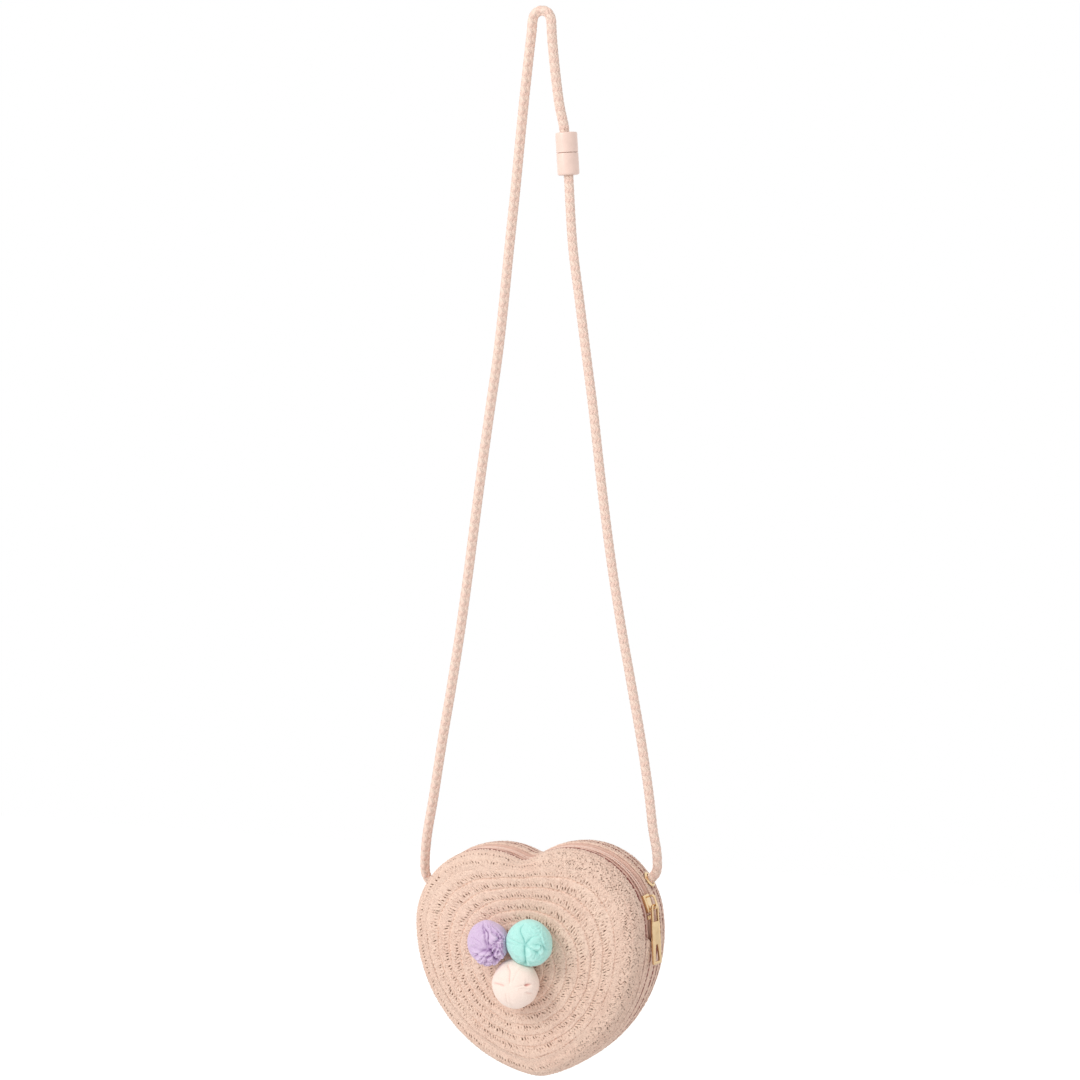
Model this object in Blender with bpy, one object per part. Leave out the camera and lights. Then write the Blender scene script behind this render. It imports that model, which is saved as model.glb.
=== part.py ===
"""A heart-shaped straw shoulder bag with a curved zip, hanging from the top of its braided rope strap.

Metres, +Z up. The front of the bag faces -Y. The origin is the point that the strap hangs from.
The bag is modelled about its own centre and then hung, a little out of level, below the origin.
"""

import math

import bmesh
import bpy
import numpy as np
from mathutils import Matrix, Vector

# Heart outline, seen from the front, drawn with arcs that meet without a corner
BAG_WIDTH = 0.170
BAG_HEIGHT = 0.1588
LOBE_RADIUS = 0.054
CLEFT_RADIUS = 0.0105
FLANK_RADIUS = 0.104
TIP_RADIUS = 0.025
CENTRE_BELOW_TOP = 0.0654

# Thickness of the body, and the rounded rim between its faces and its sides
BAG_DEPTH = 0.0595
RIM_INSET = 0.0126
RIM_POWER = 3.0
FRONT_CROWN = 0.0025
ROW_CENTRE_DROP = 0.015
FACE_RING_SHARES = (0.0, 0.5)
RIM_RING_SHARES = (0.0, 0.14, 0.32, 0.54, 0.78, 1.0)
LINING_RING_SHARES = (0.0, 0.2, 0.45, 0.72, 1.0)
CROWN_CURVE = 2

# How the bag hangs under the top of its strap
BAG_DROP = 0.6273
BAG_SHIFT = 0.0007
BAG_ROLL = math.radians(4.5)

# Walls, from the outside in
GAP = 0.0003
STRAW_WALL = 0.0025
TAPE_THICKNESS = 0.0006
LINING_THICKNESS = 0.0006

# Zip, which runs over both lobes from one side of the bag to the other.
# Its angles, and those of the slider and eyelets, count up about the lobe from where the flank ends.
ZIP_Y = -0.006
ZIP_MOUTH = 0.0186
ZIP_END_ANGLE = math.radians(-10.7)
ZIP_END_TAPER = 0.008
ZIP_CHANNEL = 0.0012
TAPE_WIDTH = 0.0105
TAPE_TUCK = 0.004
COIL_WIDTH = 0.0019
COIL_HEIGHT = 0.0014
COIL_CHAMFER = 0.0004
COIL_END_ANGLE = math.radians(2.3)
STOP_ANGLE = math.radians(-0.1)
STOP_LENGTH = 0.0026
STOP_WIDTH = 0.0022
LINING_SETBACK = 0.0031

# Slider, bail and pull tab
SLIDER_ANGLE = math.radians(10.3)
SLIDER_LENGTH = 0.0122
SLIDER_WIDTH = 0.0094
SLIDER_PLATE = 0.0014
SLIDER_LOWER_PLATE = 0.001
SLIDER_CLEARANCE = 0.0004
SLIDER_LIP = 0.0007
SLIDER_POST = 0.0006
SLIDER_CHAMFER = 0.0008
SLIDER_OUTLINE_SHARES = ((-1.0, 0.68), (-0.86, 0.8), (-0.4, 0.88), (0.3, 0.97), (0.8, 1.0), (1.0, 0.86))
BAIL_LENGTH = 0.0094
BAIL_WIDTH = 0.0022
BAIL_STOCK = 0.001
BAIL_RISE = 0.0053
BAIL_CORNER = 0.0014
PULL_LENGTH = 0.040
PULL_WIDTH = 0.0098
PULL_THICKNESS = 0.0016
PULL_SHOULDER = 0.0014
PULL_TURN = math.radians(12)
PULL_CLEARANCE = 0.0005
PULL_SIDE_CLEARANCE = 0.0003
PULL_EYE_BAR = 0.0016
PULL_BAR_OFFSET = 0.0023
PULL_SLOT_LENGTH = 0.0102
PULL_SLOT_WIDTH = 0.0052
PULL_SLOT_FOOT = 0.0058
PULL_WINDOW_LENGTH = 0.0112
PULL_WINDOW_TOP = 0.0026
PULL_WINDOW_FOOT = 0.0056
PULL_END_BAR = 0.002
PULL_BEVEL = 0.0002

# Eyelets that the strap passes through
LEFT_EYELET_ANGLE = math.radians(21.3)
RIGHT_EYELET_ANGLE = math.radians(25.3)
EYELET_Y = 0.011
EYELET_BORE = 0.0076
EYELET_WALL = 0.0005
EYELET_FLANGE = 0.0115
EYELET_FLANGE_THICKNESS = 0.0009
EYELET_TAIL = 0.0009
WASHER_THICKNESS = 0.0008
WASHER_STANDOFF = 0.0008
WASHER_DIAMETER = 0.012

# Strap
ROPE_DIAMETER = 0.007
ROPE_POINT_SPACING = 0.0225
ROPE_INSIDE = 0.007
KNOT_DIAMETER = 0.0125
KNOT_LENGTH = 0.0105
KNOT_FLAT_SHARE = 0.45

# Breakaway clasp on the strap
CLASP_CENTRE = (0.01825, 0.0007, -0.0925)
CLASP_TILT = math.radians(3.6)
CLASP_DIAMETER = 0.0148
CLASP_UPPER = 0.0137
CLASP_LOWER = 0.0150
CLASP_CENTRE_SHARE = 0.5
CLASP_EDGE = 0.0014
CLASP_LIP = 0.0004
CLASP_WALL = 0.0017
CLASP_FLOOR = 0.0025
CLASP_ROPE_LEAD = 0.003
CLASP_ROPE_CLEARANCE = 0.0004
CLASP_TOP_CLEARANCE = 0.0015
CLASP_TOP_OFFSET = -0.0012
CLASP_PLUG_LENGTH = 0.005
CLASP_PLUG_WALL = 0.0013
CLASP_KNOT_LENGTH = 0.0052
CLASP_BORE_NECK = 0.001

# Pompoms: name, place on the front as bag x and z, radius
POMPOMS = (
    ("pompom_lilac", -0.0194, 0.0046, 0.0145),
    ("pompom_mint", 0.0101, 0.0050, 0.0145),
    ("pompom_cream", -0.0019, -0.0236, 0.0150),
)
POMPOM_HALF_DEPTH = 0.0115
POMPOM_FOLD_SHARE = 0.045
POMPOM_FOLDS = 9

# Facets
TIP_STEPS = 3
FLANK_STEPS = 6
ZIP_END_STEPS = 3
LOBE_STEPS = 17
CLEFT_STEPS = 3
ROUND_STEPS = 24
SMALL_ROUND_STEPS = 16
POMPOM_ROWS = 8
KNOT_ROWS = 5

# Centre line of the strap between its ends, hand placed: up the left side, over the top, down to the clasp
STRAP_ROUTE = (
    (-0.08875, 0.0046, -0.5665),
    (-0.08265, 0.0037, -0.5346),
    (-0.07585, 0.0033, -0.4956),
    (-0.06855, 0.0029, -0.4569),
    (-0.06185, 0.0027, -0.4183),
    (-0.05595, 0.0025, -0.3800),
    (-0.05045, 0.0022, -0.3419),
    (-0.04495, 0.0020, -0.3040),
    (-0.03905, 0.0017, -0.2662),
    (-0.03305, 0.0015, -0.2286),
    (-0.02835, 0.0013, -0.1912),
    (-0.02415, 0.0010, -0.1540),
    (-0.01975, 0.0008, -0.1169),
    (-0.01495, 0.0005, -0.0726),
    (-0.01185, 0.0003, -0.0460),
    (-0.00855, 0.0001, -0.0194),
    (-0.00715, 0.0000, -0.0086),
    (-0.00685, 0.0000, -0.0033),
    (-0.00593, 0.0000, 0.0001),
    (-0.00343, 0.0000, 0.0026),
    (0.00000, 0.0000, 0.0035),
    (0.00343, 0.0000, 0.0026),
    (0.00593, 0.0000, 0.0001),
    (0.00685, 0.0000, -0.0033),
    (0.00705, 0.0000, -0.0089),
    (0.00775, 0.0001, -0.0196),
    (0.01255, 0.0004, -0.0596),
)
# The same from the clasp down the right side
LOWER_STRAP_ROUTE = (
    (0.02205, 0.0010, -0.1539),
    (0.02685, 0.0013, -0.1908),
    (0.03185, 0.0015, -0.2278),
    (0.03685, 0.0017, -0.2647),
    (0.04115, 0.0020, -0.3018),
    (0.04585, 0.0022, -0.3389),
    (0.05115, 0.0025, -0.3760),
    (0.05745, 0.0027, -0.4132),
    (0.06445, 0.0029, -0.4503),
    (0.07135, 0.0033, -0.4875),
    (0.07705, 0.0038, -0.5248),
    (0.07985, 0.0042, -0.5490),
)
# Centre line of the strap near an eyelet: height over the wall, and rise in y and z as the rope turns up
LEFT_EYELET_ROUTE = (
    (0.0020, 0.0000, 0.0000),
    (0.0060, -0.0008, 0.0010),
    (0.0085, -0.0022, 0.0039),
    (0.0090, -0.0036, 0.0083),
)
RIGHT_EYELET_ROUTE = (
    (0.0020, 0.0000, 0.0000),
    (0.0059, -0.0010, 0.0010),
    (0.0083, -0.0025, 0.0037),
    (0.0090, -0.0041, 0.0076),
    (0.0092, -0.0059, 0.0162),
)


def clear_scene():
    for obj in list(bpy.data.objects):
        bpy.data.objects.remove(obj, do_unlink=True)


def material(name, colour, roughness, metallic=0.0):
    """A Principled material of one colour."""
    made = bpy.data.materials.new(name)
    made.use_nodes = True
    shader = made.node_tree.nodes["Principled BSDF"]
    shader.inputs["Base Color"].default_value = (*colour, 1.0)
    shader.inputs["Roughness"].default_value = roughness
    shader.inputs["Metallic"].default_value = metallic
    return made


def make_materials():
    return {
        "straw": material("straw", (0.80, 0.56, 0.42), 0.75),
        "zip_tape": material("zip_tape", (0.68, 0.38, 0.30), 0.8),
        "zip_coil": material("zip_coil", (0.62, 0.32, 0.26), 0.5),
        "gold": material("gold", (0.75, 0.55, 0.28), 0.28, 1.0),
        "rope": material("rope", (0.84, 0.66, 0.56), 0.8),
        "clasp": material("clasp", (0.86, 0.62, 0.54), 0.35),
        "lining": material("lining", (0.84, 0.64, 0.58), 0.85),
        "tulle_lilac": material("tulle_lilac", (0.62, 0.48, 0.72), 0.9),
        "tulle_mint": material("tulle_mint", (0.42, 0.78, 0.72), 0.9),
        "tulle_cream": material("tulle_cream", (0.92, 0.76, 0.68), 0.9),
    }


def finish_object(name, mesh, finish, parent, smooth_angle=math.radians(35)):
    """Puts a mesh into the scene as a node with its material and its parent."""
    obj = bpy.data.objects.new(name, mesh)
    bpy.context.scene.collection.objects.link(obj)
    mesh.materials.append(finish)
    mesh.shade_smooth()
    mesh.set_sharp_from_angle(angle=smooth_angle)
    obj.parent = parent
    return obj


def mesh_from(name, points, faces):
    """A mesh with its doubled points merged and its faces turned outwards."""
    shape = bmesh.new()
    verts = [shape.verts.new(point) for point in points]
    for face in faces:
        corners = [verts[index] for index in face]
        shape.faces.new(corners)
    bmesh.ops.recalc_face_normals(shape, faces=shape.faces)
    mesh = bpy.data.meshes.new(name)
    shape.to_mesh(mesh)
    shape.free()
    return mesh


def empty(name, location, parent=None):
    made = bpy.data.objects.new(name, None)
    bpy.context.scene.collection.objects.link(made)
    made.location = location
    made.parent = parent
    return made


# Heart outline


def angle_of(vector):
    return math.atan2(vector[1], vector[0])


def circle_round_both(first, first_radius, second, second_radius, radius):
    """Centre of the circle of this radius that holds two smaller circles and touches both."""
    to_second = second - first
    between = np.linalg.norm(to_second)
    reach_first = radius - first_radius
    reach_second = radius - second_radius
    along = (reach_first**2 - reach_second**2 + between**2) / (2 * between)
    aside = math.sqrt(reach_first**2 - along**2)
    unit = to_second / between
    across = np.array([unit[1], -unit[0]])
    return first + unit * along + across * aside


def heart_arcs():
    """Right half of the outline from the tip to the cleft: centre, radius, first and last angle, turn."""
    lobe = lobe_centre()
    tip = np.array([0.0, CENTRE_BELOW_TOP - BAG_HEIGHT + TIP_RADIUS])
    cleft_rise = math.sqrt((LOBE_RADIUS + CLEFT_RADIUS) ** 2 - lobe[0] ** 2)
    cleft = np.array([0.0, lobe[1] + cleft_rise])
    flank = circle_round_both(lobe, LOBE_RADIUS, tip, TIP_RADIUS, FLANK_RADIUS)
    tip_to_flank = angle_of(tip - flank)
    flank_to_lobe = angle_of(lobe - flank)
    lobe_to_cleft = angle_of(cleft - lobe)
    return (
        (tip, TIP_RADIUS, -math.pi / 2, tip_to_flank, 1),
        (flank, FLANK_RADIUS, tip_to_flank, flank_to_lobe, 1),
        (lobe, LOBE_RADIUS, flank_to_lobe, lobe_to_cleft, 1),
        (cleft, CLEFT_RADIUS, lobe_to_cleft - math.pi, -math.pi / 2, -1),
    )


def lobe_centre():
    return np.array([BAG_WIDTH / 2 - LOBE_RADIUS, CENTRE_BELOW_TOP - LOBE_RADIUS])


def arc_lengths():
    return [radius * abs(last - first) for _, radius, first, last, _ in heart_arcs()]


def lobe_start_angle():
    """Angle about the centre of the right lobe where the flank ends and the lobe begins."""
    return heart_arcs()[2][2]


def run_to_lobe_angle(angle):
    """Length along the outline from the tip to this angle on the lobe, counted from where the lobe begins."""
    lengths = arc_lengths()
    return lengths[0] + lengths[1] + LOBE_RADIUS * angle


def outline_at(runs):
    """Points and outward normals of the outline, as x and z, at these lengths from the tip.

    A run up to half the outline lies on the right, and a longer one comes down the left side.
    """
    half = sum(arc_lengths())
    runs = np.asarray(runs, float)
    side = np.where(runs <= half, 1.0, -1.0)
    runs = np.where(runs <= half, runs, 2 * half - runs)
    points = np.zeros((len(runs), 2))
    normals = np.zeros((len(runs), 2))
    start = 0.0
    for centre, radius, first, last, turn in heart_arcs():
        length = radius * abs(last - first)
        inside = runs >= start
        angle = first + (last - first) * np.clip((runs - start) / length, 0, 1)
        ray = np.column_stack([np.cos(angle), np.sin(angle)])
        points[inside] = (centre + radius * ray)[inside]
        normals[inside] = (turn * ray)[inside]
        start += length
    points[:, 0] *= side
    normals[:, 0] *= side
    return points, normals


def tape_start():
    """Length along the outline from the tip to the end of the zip tapes, tucked in past the zip."""
    return run_to_lobe_angle(ZIP_END_ANGLE) - ZIP_END_TAPER - TAPE_TUCK


def half_runs():
    """Lengths along the right half where the outline has a station, closer together where it bends more."""
    ends = np.cumsum(arc_lengths())
    zip_end = run_to_lobe_angle(ZIP_END_ANGLE)
    pieces = (
        np.linspace(0, ends[0], TIP_STEPS, endpoint=False),
        np.linspace(ends[0], tape_start(), FLANK_STEPS, endpoint=False),
        np.linspace(tape_start(), zip_end, ZIP_END_STEPS, endpoint=False),
        np.linspace(zip_end, ends[2], LOBE_STEPS, endpoint=False),
        np.linspace(ends[2], ends[3], CLEFT_STEPS + 1),
    )
    return np.concatenate(pieces)


def ring_runs():
    """The same stations all the way round, without the tip twice."""
    right = half_runs()
    left = 2 * right[-1] - right[-2:0:-1]
    return np.concatenate([right, left])


# Cross-section of the body


def rim_profile(y, depth):
    """How far in from the outline, and how far forward or back, a place under the rounded rim lies.

    The rim is a superellipse between the side and the face, and depth is measured square to it.
    """
    half = BAG_DEPTH / 2
    share = np.clip(np.abs(y) / half, 0, 1)
    reach = (1 - share**RIM_POWER) ** (1 / RIM_POWER)
    out = reach ** (RIM_POWER - 1) / RIM_INSET
    along = share ** (RIM_POWER - 1) / half * np.sign(y)
    size = np.hypot(out, along)
    inset = RIM_INSET - (RIM_INSET * reach - depth * out / size)
    return inset, y - depth * along / size


def place(points, normals, inset, y):
    """World-sized points of a ring at this inset and y."""
    inset = np.broadcast_to(inset, (len(points),))
    y = np.broadcast_to(y, (len(points),))
    flat = points - normals * inset[:, None]
    return np.column_stack([flat[:, 0], y, flat[:, 1]])


def face_centre():
    return np.array([0.0, -ROW_CENTRE_DROP])


def crown_at(share):
    """Height of the domed face as a share of its crown, where share is 0 at the rim and 1 in the middle."""
    return 1 - (1 - np.asarray(share, float)) ** CROWN_CURVE


def mouth_half(runs, narrow, wide):
    """Half the gap between the two halves of the body: narrow along the seam, wide along the zip."""
    half = sum(arc_lengths())
    runs = np.where(runs <= half, runs, 2 * half - runs)
    zip_end = run_to_lobe_angle(ZIP_END_ANGLE)
    share = np.clip((runs - zip_end + ZIP_END_TAPER) / ZIP_END_TAPER, 0, 1)
    weight = share * share * (3 - 2 * share)
    return narrow + (wide - narrow) * weight


def dish(name, side, mouth, depths, crown, rim_shares):
    """Half of the body as an open dish with a real wall between its outer and inner depths."""
    runs = ring_runs()
    points, normals = outline_at(runs)
    half = BAG_DEPTH / 2
    edge = ZIP_Y + side * mouth_half(runs, GAP / 2, mouth)
    edge_share = np.clip(np.abs(edge) / half, 0, 1) ** (RIM_POWER / 2)
    edge_angle = np.arcsin(edge_share) * np.sign(edge) * side
    rings = []
    for depth in depths:
        wall = []
        for share in rim_shares:
            angle = edge_angle + (math.pi / 2 - edge_angle) * share
            sine = np.sin(angle)
            y = side * half * np.sign(sine) * np.abs(sine) ** (2 / RIM_POWER)
            inset, y_in = rim_profile(y, depth)
            wall.append(place(points, normals, inset, y_in))
        rim = points - normals * RIM_INSET
        for share in FACE_RING_SHARES[1:]:
            flat = face_centre() + (rim - face_centre()) * (1 - share)
            y = side * (half - depth + crown * crown_at(share))
            wall.append(np.column_stack([flat[:, 0], np.full(len(flat), y), flat[:, 1]]))
        rings.append(wall)
    count = len(runs)
    all_points = [ring for wall in rings for ring in wall]
    middle_y = [side * (half - depth + crown) for depth in depths]
    middles = np.array([[0.0, y, -ROW_CENTRE_DROP] for y in middle_y])
    stacked = np.vstack([*all_points, middles])
    per_wall = len(rings[0])
    faces = []
    for wall in range(2):
        base = wall * per_wall * count
        for row in range(per_wall - 1):
            faces += band(base + row * count, base + (row + 1) * count, count)
        middle = len(stacked) - 2 + wall
        last = base + (per_wall - 1) * count
        faces += [(last + i, last + (i + 1) % count, middle) for i in range(count)]
    faces += band(0, per_wall * count, count)
    return mesh_from(name, stacked, faces)


def band(first, second, count):
    """Quads between two closed rings of the same number of points."""
    return [(first + i, first + (i + 1) % count, second + (i + 1) % count, second + i) for i in range(count)]


def face_surface_y(x, z):
    """Where the outside of the domed front lies at this place."""
    points, normals = outline_at(ring_runs())
    rim = points - normals * RIM_INSET - face_centre()
    spot = np.array([x, z]) - face_centre()
    turns = np.arctan2(rim[:, 1], rim[:, 0])
    order = np.argsort(turns)
    reach = np.interp(angle_of(spot), turns[order], np.hypot(rim[order, 0], rim[order, 1]), period=math.tau)
    share = 1 - math.hypot(*spot) / reach
    shares = (*FACE_RING_SHARES, 1.0)
    return -(BAG_DEPTH / 2 + FRONT_CROWN * np.interp(share, shares, crown_at(shares)))


# Depths of the layers at the zip, from the outside in


def tape_depth():
    return STRAW_WALL + GAP


def tape_back():
    return tape_depth() + TAPE_THICKNESS


def lining_depth():
    return tape_back() + GAP


def coil_top():
    return tape_depth() - GAP - COIL_HEIGHT


def sweep(name, runs, section):
    """A bar that follows the outline. section holds its corners as y and depth, in order."""
    points, normals = outline_at(runs)
    rings = []
    for y, depth in section:
        inset, y_in = rim_profile(np.float64(y), depth)
        rings.append(place(points, normals, inset, y_in))
    corners = len(section)
    stacked = np.stack(rings, axis=1).reshape(-1, 3)
    faces = []
    for i in range(len(runs) - 1):
        faces += band(i * corners, (i + 1) * corners, corners)
    faces.append(tuple(range(corners)))
    faces.append(tuple(range((len(runs) - 1) * corners, len(runs) * corners)))
    return mesh_from(name, stacked, faces)


def runs_between(first, last):
    """Stations of the outline between two runs, with both ends added."""
    middle = [run for run in ring_runs() if first + GAP < run < last - GAP]
    return np.array([first, *middle, last])


def tape_section(side):
    near = ZIP_Y + side * ZIP_CHANNEL / 2
    far = ZIP_Y + side * (ZIP_CHANNEL / 2 + TAPE_WIDTH)
    middle = (near + far) / 2
    top, back = tape_depth(), tape_back()
    return ((near, top), (middle, top), (far, top), (far, back), (middle, back), (near, back))


def coil_section(side):
    near = ZIP_Y + side * ZIP_CHANNEL / 2
    far = near + side * COIL_WIDTH
    top, foot = coil_top(), tape_depth() - GAP
    chamfer = COIL_CHAMFER
    return (
        (near, foot),
        (near, top + chamfer),
        (near + side * chamfer, top),
        (far - side * chamfer, top),
        (far, top + chamfer),
        (far, foot),
    )


def make_body(finishes, bag):
    """The two straw halves and the two halves of the lining, with holes for the eyelets."""
    mouth = ZIP_MOUTH / 2
    cloth_mouth = mouth - LINING_SETBACK
    straw = (0.0, STRAW_WALL)
    cloth = (lining_depth(), lining_depth() + LINING_THICKNESS)
    front = dish("front_shell", -1, mouth, straw, FRONT_CROWN, RIM_RING_SHARES)
    rear = dish("back_shell", 1, mouth, straw, 0.0, RIM_RING_SHARES)
    front_cloth = dish("front_lining", -1, cloth_mouth, cloth, FRONT_CROWN, LINING_RING_SHARES)
    rear_cloth = dish("back_lining", 1, cloth_mouth, cloth, 0.0, LINING_RING_SHARES)
    finish_object("front_shell", front, finishes["straw"], bag)
    finish_object("front_lining", front_cloth, finishes["lining"], bag)
    drilled = (
        finish_object("back_shell", rear, finishes["straw"], bag),
        finish_object("back_lining", rear_cloth, finishes["lining"], bag),
    )
    hole = EYELET_BORE / 2 + EYELET_WALL + GAP
    for name, side in (("left", -1), ("right", 1)):
        drill = turned_mesh(
            "drill_" + name,
            ((0, -BAG_DEPTH / 4), (hole, -BAG_DEPTH / 4), (hole, BAG_DEPTH / 4), (0, BAG_DEPTH / 4)),
            SMALL_ROUND_STEPS,
            eyelet_frame(side),
        )
        cutter = finish_object("drill_" + name, drill, finishes["gold"], bag)
        hide_cutter(cutter)
        for target in drilled:
            cut(target, cutter)


def hide_cutter(cutter):
    cutter.hide_render = True
    cutter.display_type = "WIRE"


def cut(target, cutter):
    modifier = target.modifiers.new(cutter.name, "BOOLEAN")
    modifier.operation = "DIFFERENCE"
    modifier.solver = "EXACT"
    modifier.object = cutter


def make_zip(finishes, bag):
    """The two tapes with their coils, and the stops at both ends."""
    half = sum(arc_lengths())
    tape_runs = runs_between(tape_start(), 2 * half - tape_start())
    coil_start = run_to_lobe_angle(COIL_END_ANGLE)
    coil_runs = runs_between(coil_start, 2 * half - coil_start)
    for name, side in (("front", -1), ("rear", 1)):
        tape = sweep("zip_tape_" + name, tape_runs, tape_section(side))
        coil = sweep("zip_coil_" + name, coil_runs, coil_section(side))
        finish_object("zip_tape_" + name, tape, finishes["zip_tape"], bag)
        finish_object("zip_coil_" + name, coil, finishes["zip_coil"], bag)
        near = ZIP_Y + side * ZIP_CHANNEL / 2
        make_stop("zip_top_stop_" + name, near, near + side * STOP_WIDTH, False, finishes, bag)
    reach = ZIP_CHANNEL / 2 + STOP_WIDTH
    make_stop("zip_bottom_stop", ZIP_Y - reach, ZIP_Y + reach, True, finishes, bag)


def make_stop(name, first_y, last_y, on_left, finishes, bag):
    """A crimped metal stop on the tape, past the end of the coils."""
    half = sum(arc_lengths())
    middle = run_to_lobe_angle(STOP_ANGLE)
    middle = 2 * half - middle if on_left else middle
    runs = np.array([middle - STOP_LENGTH / 2, middle + STOP_LENGTH / 2])
    top, foot = coil_top(), tape_depth() - GAP
    low, high = sorted((first_y, last_y))
    chamfer = COIL_CHAMFER
    section = (
        (low, foot),
        (low, top + chamfer),
        (low + chamfer, top),
        (high - chamfer, top),
        (high, top + chamfer),
        (high, foot),
    )
    finish_object(name, sweep(name, runs, section), finishes["gold"], bag)


# Slider, which turns about the centre of the right lobe as it runs along the zip


def lobe_frame(along, depth, y):
    """A place by its length along the zip from the middle of the slider, its depth and its y.

    It is given from the centre of the right lobe, which the slider turns about.
    """
    angle = lobe_start_angle() + SLIDER_ANGLE + along / LOBE_RADIUS
    radius = LOBE_RADIUS - depth
    return (radius * math.cos(angle), y, radius * math.sin(angle))


def slider_section():
    """Half of the slider across the zip, as distance from its middle and depth, from top to bottom."""
    half = SLIDER_WIDTH / 2
    under = coil_top() - SLIDER_CLEARANCE
    top = under - SLIDER_PLATE
    lip_foot = tape_depth() - SLIDER_CLEARANCE
    post = SLIDER_POST / 2
    floor = tape_back() + SLIDER_CLEARANCE
    bottom = floor + SLIDER_LOWER_PLATE
    chamfer = SLIDER_CHAMFER
    lower = half - chamfer / 2
    return (
        (half - chamfer, top),
        (half, top + chamfer),
        (half, lip_foot),
        (half - SLIDER_LIP, lip_foot),
        (half - SLIDER_LIP, under),
        (post, under),
        (post, floor),
        (lower, floor),
        (lower, (floor + bottom) / 2),
        (lower - chamfer / 2, bottom),
    )


def make_slider(finishes, axis_empty):
    half_section = slider_section()
    section = [*half_section, *[(-x, depth) for x, depth in reversed(half_section)]]
    rings = []
    for share, width_share in SLIDER_OUTLINE_SHARES:
        along = share * SLIDER_LENGTH / 2
        for x, depth in section:
            aside = x if abs(x) <= SLIDER_POST / 2 else x * width_share
            rings.append(lobe_frame(along, depth, ZIP_Y + aside))
    corners = len(section)
    rows = len(SLIDER_OUTLINE_SHARES)
    faces = []
    for row in range(rows - 1):
        faces += band(row * corners, (row + 1) * corners, corners)
    faces.append(tuple(range(corners)))
    faces.append(tuple(range((rows - 1) * corners, rows * corners)))
    mesh = mesh_from("slider_body", rings, faces)
    finish_object("slider_body", mesh, finishes["gold"], axis_empty)


def slider_top():
    return coil_top() - SLIDER_CLEARANCE - SLIDER_PLATE


def make_bail(finishes, axis_empty):
    """The bridge over the slider that the pull tab hangs from."""
    half = BAIL_LENGTH / 2
    foot = slider_top() - GAP
    rise = slider_top() - BAIL_RISE
    stock = BAIL_STOCK
    corner = BAIL_CORNER
    outer = ((half, foot), (half, rise + corner), (half - corner, rise))
    inner = ((half - stock, foot), (half - stock, rise + stock + corner / 2), (half - stock - corner, rise + stock))
    across = [*outer, *[(-x, depth) for x, depth in reversed(outer)]]
    under = [*[(-x, depth) for x, depth in inner], *reversed(inner)]
    section = across + under
    points = []
    for side in (-1, 1):
        y = ZIP_Y + side * BAIL_WIDTH / 2
        points += [lobe_frame(along, depth, y) for along, depth in section]
    corners = len(section)
    faces = band(0, corners, corners)
    faces.append(tuple(range(corners)))
    faces.append(tuple(range(corners, 2 * corners)))
    mesh = mesh_from("slider_bail", points, faces)
    finish_object("slider_bail", mesh, finishes["gold"], axis_empty)


def pull_pivot():
    """Centre of the pull tab's top bar, under the bail, from the centre of the right lobe."""
    rise = BAIL_RISE - BAIL_STOCK - PULL_CLEARANCE - PULL_EYE_BAR / 2
    return lobe_frame(-PULL_BAR_OFFSET, slider_top() - rise, ZIP_Y)


def pull_lean():
    """How far from plumb the widest part of the bag under the pull tab holds it, clear of the straw."""
    points = np.vstack([outline_at(half_runs())[0] - lobe_centre(), np.array(pull_pivot())[[0, 2]]])
    cosine, sine = math.cos(BAG_ROLL), math.sin(BAG_ROLL)
    x = points[:, 0] * cosine - points[:, 1] * sine
    z = points[:, 0] * sine + points[:, 1] * cosine
    inside = PULL_THICKNESS / 2 + PULL_WIDTH / 2 * math.sin(PULL_TURN) + PULL_SIDE_CLEARANCE
    out, down = x[:-1] - x[-1] + inside, z[-1] - z[:-1]
    beside = (down > 0) & (down < PULL_LENGTH)
    return max(0.0, *np.arctan2(out[beside], down[beside]))


def prism(name, outline, thickness, frame):
    """A flat plate of this outline, given as across and down from the pivot."""
    points = []
    for side in (-1, 1):
        points += [frame @ Vector((side * thickness / 2, across, -down)) for across, down in outline]
    corners = len(outline)
    faces = band(0, corners, corners)
    faces.append(tuple(range(corners)))
    faces.append(tuple(range(corners, 2 * corners)))
    return mesh_from(name, points, faces)


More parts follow.
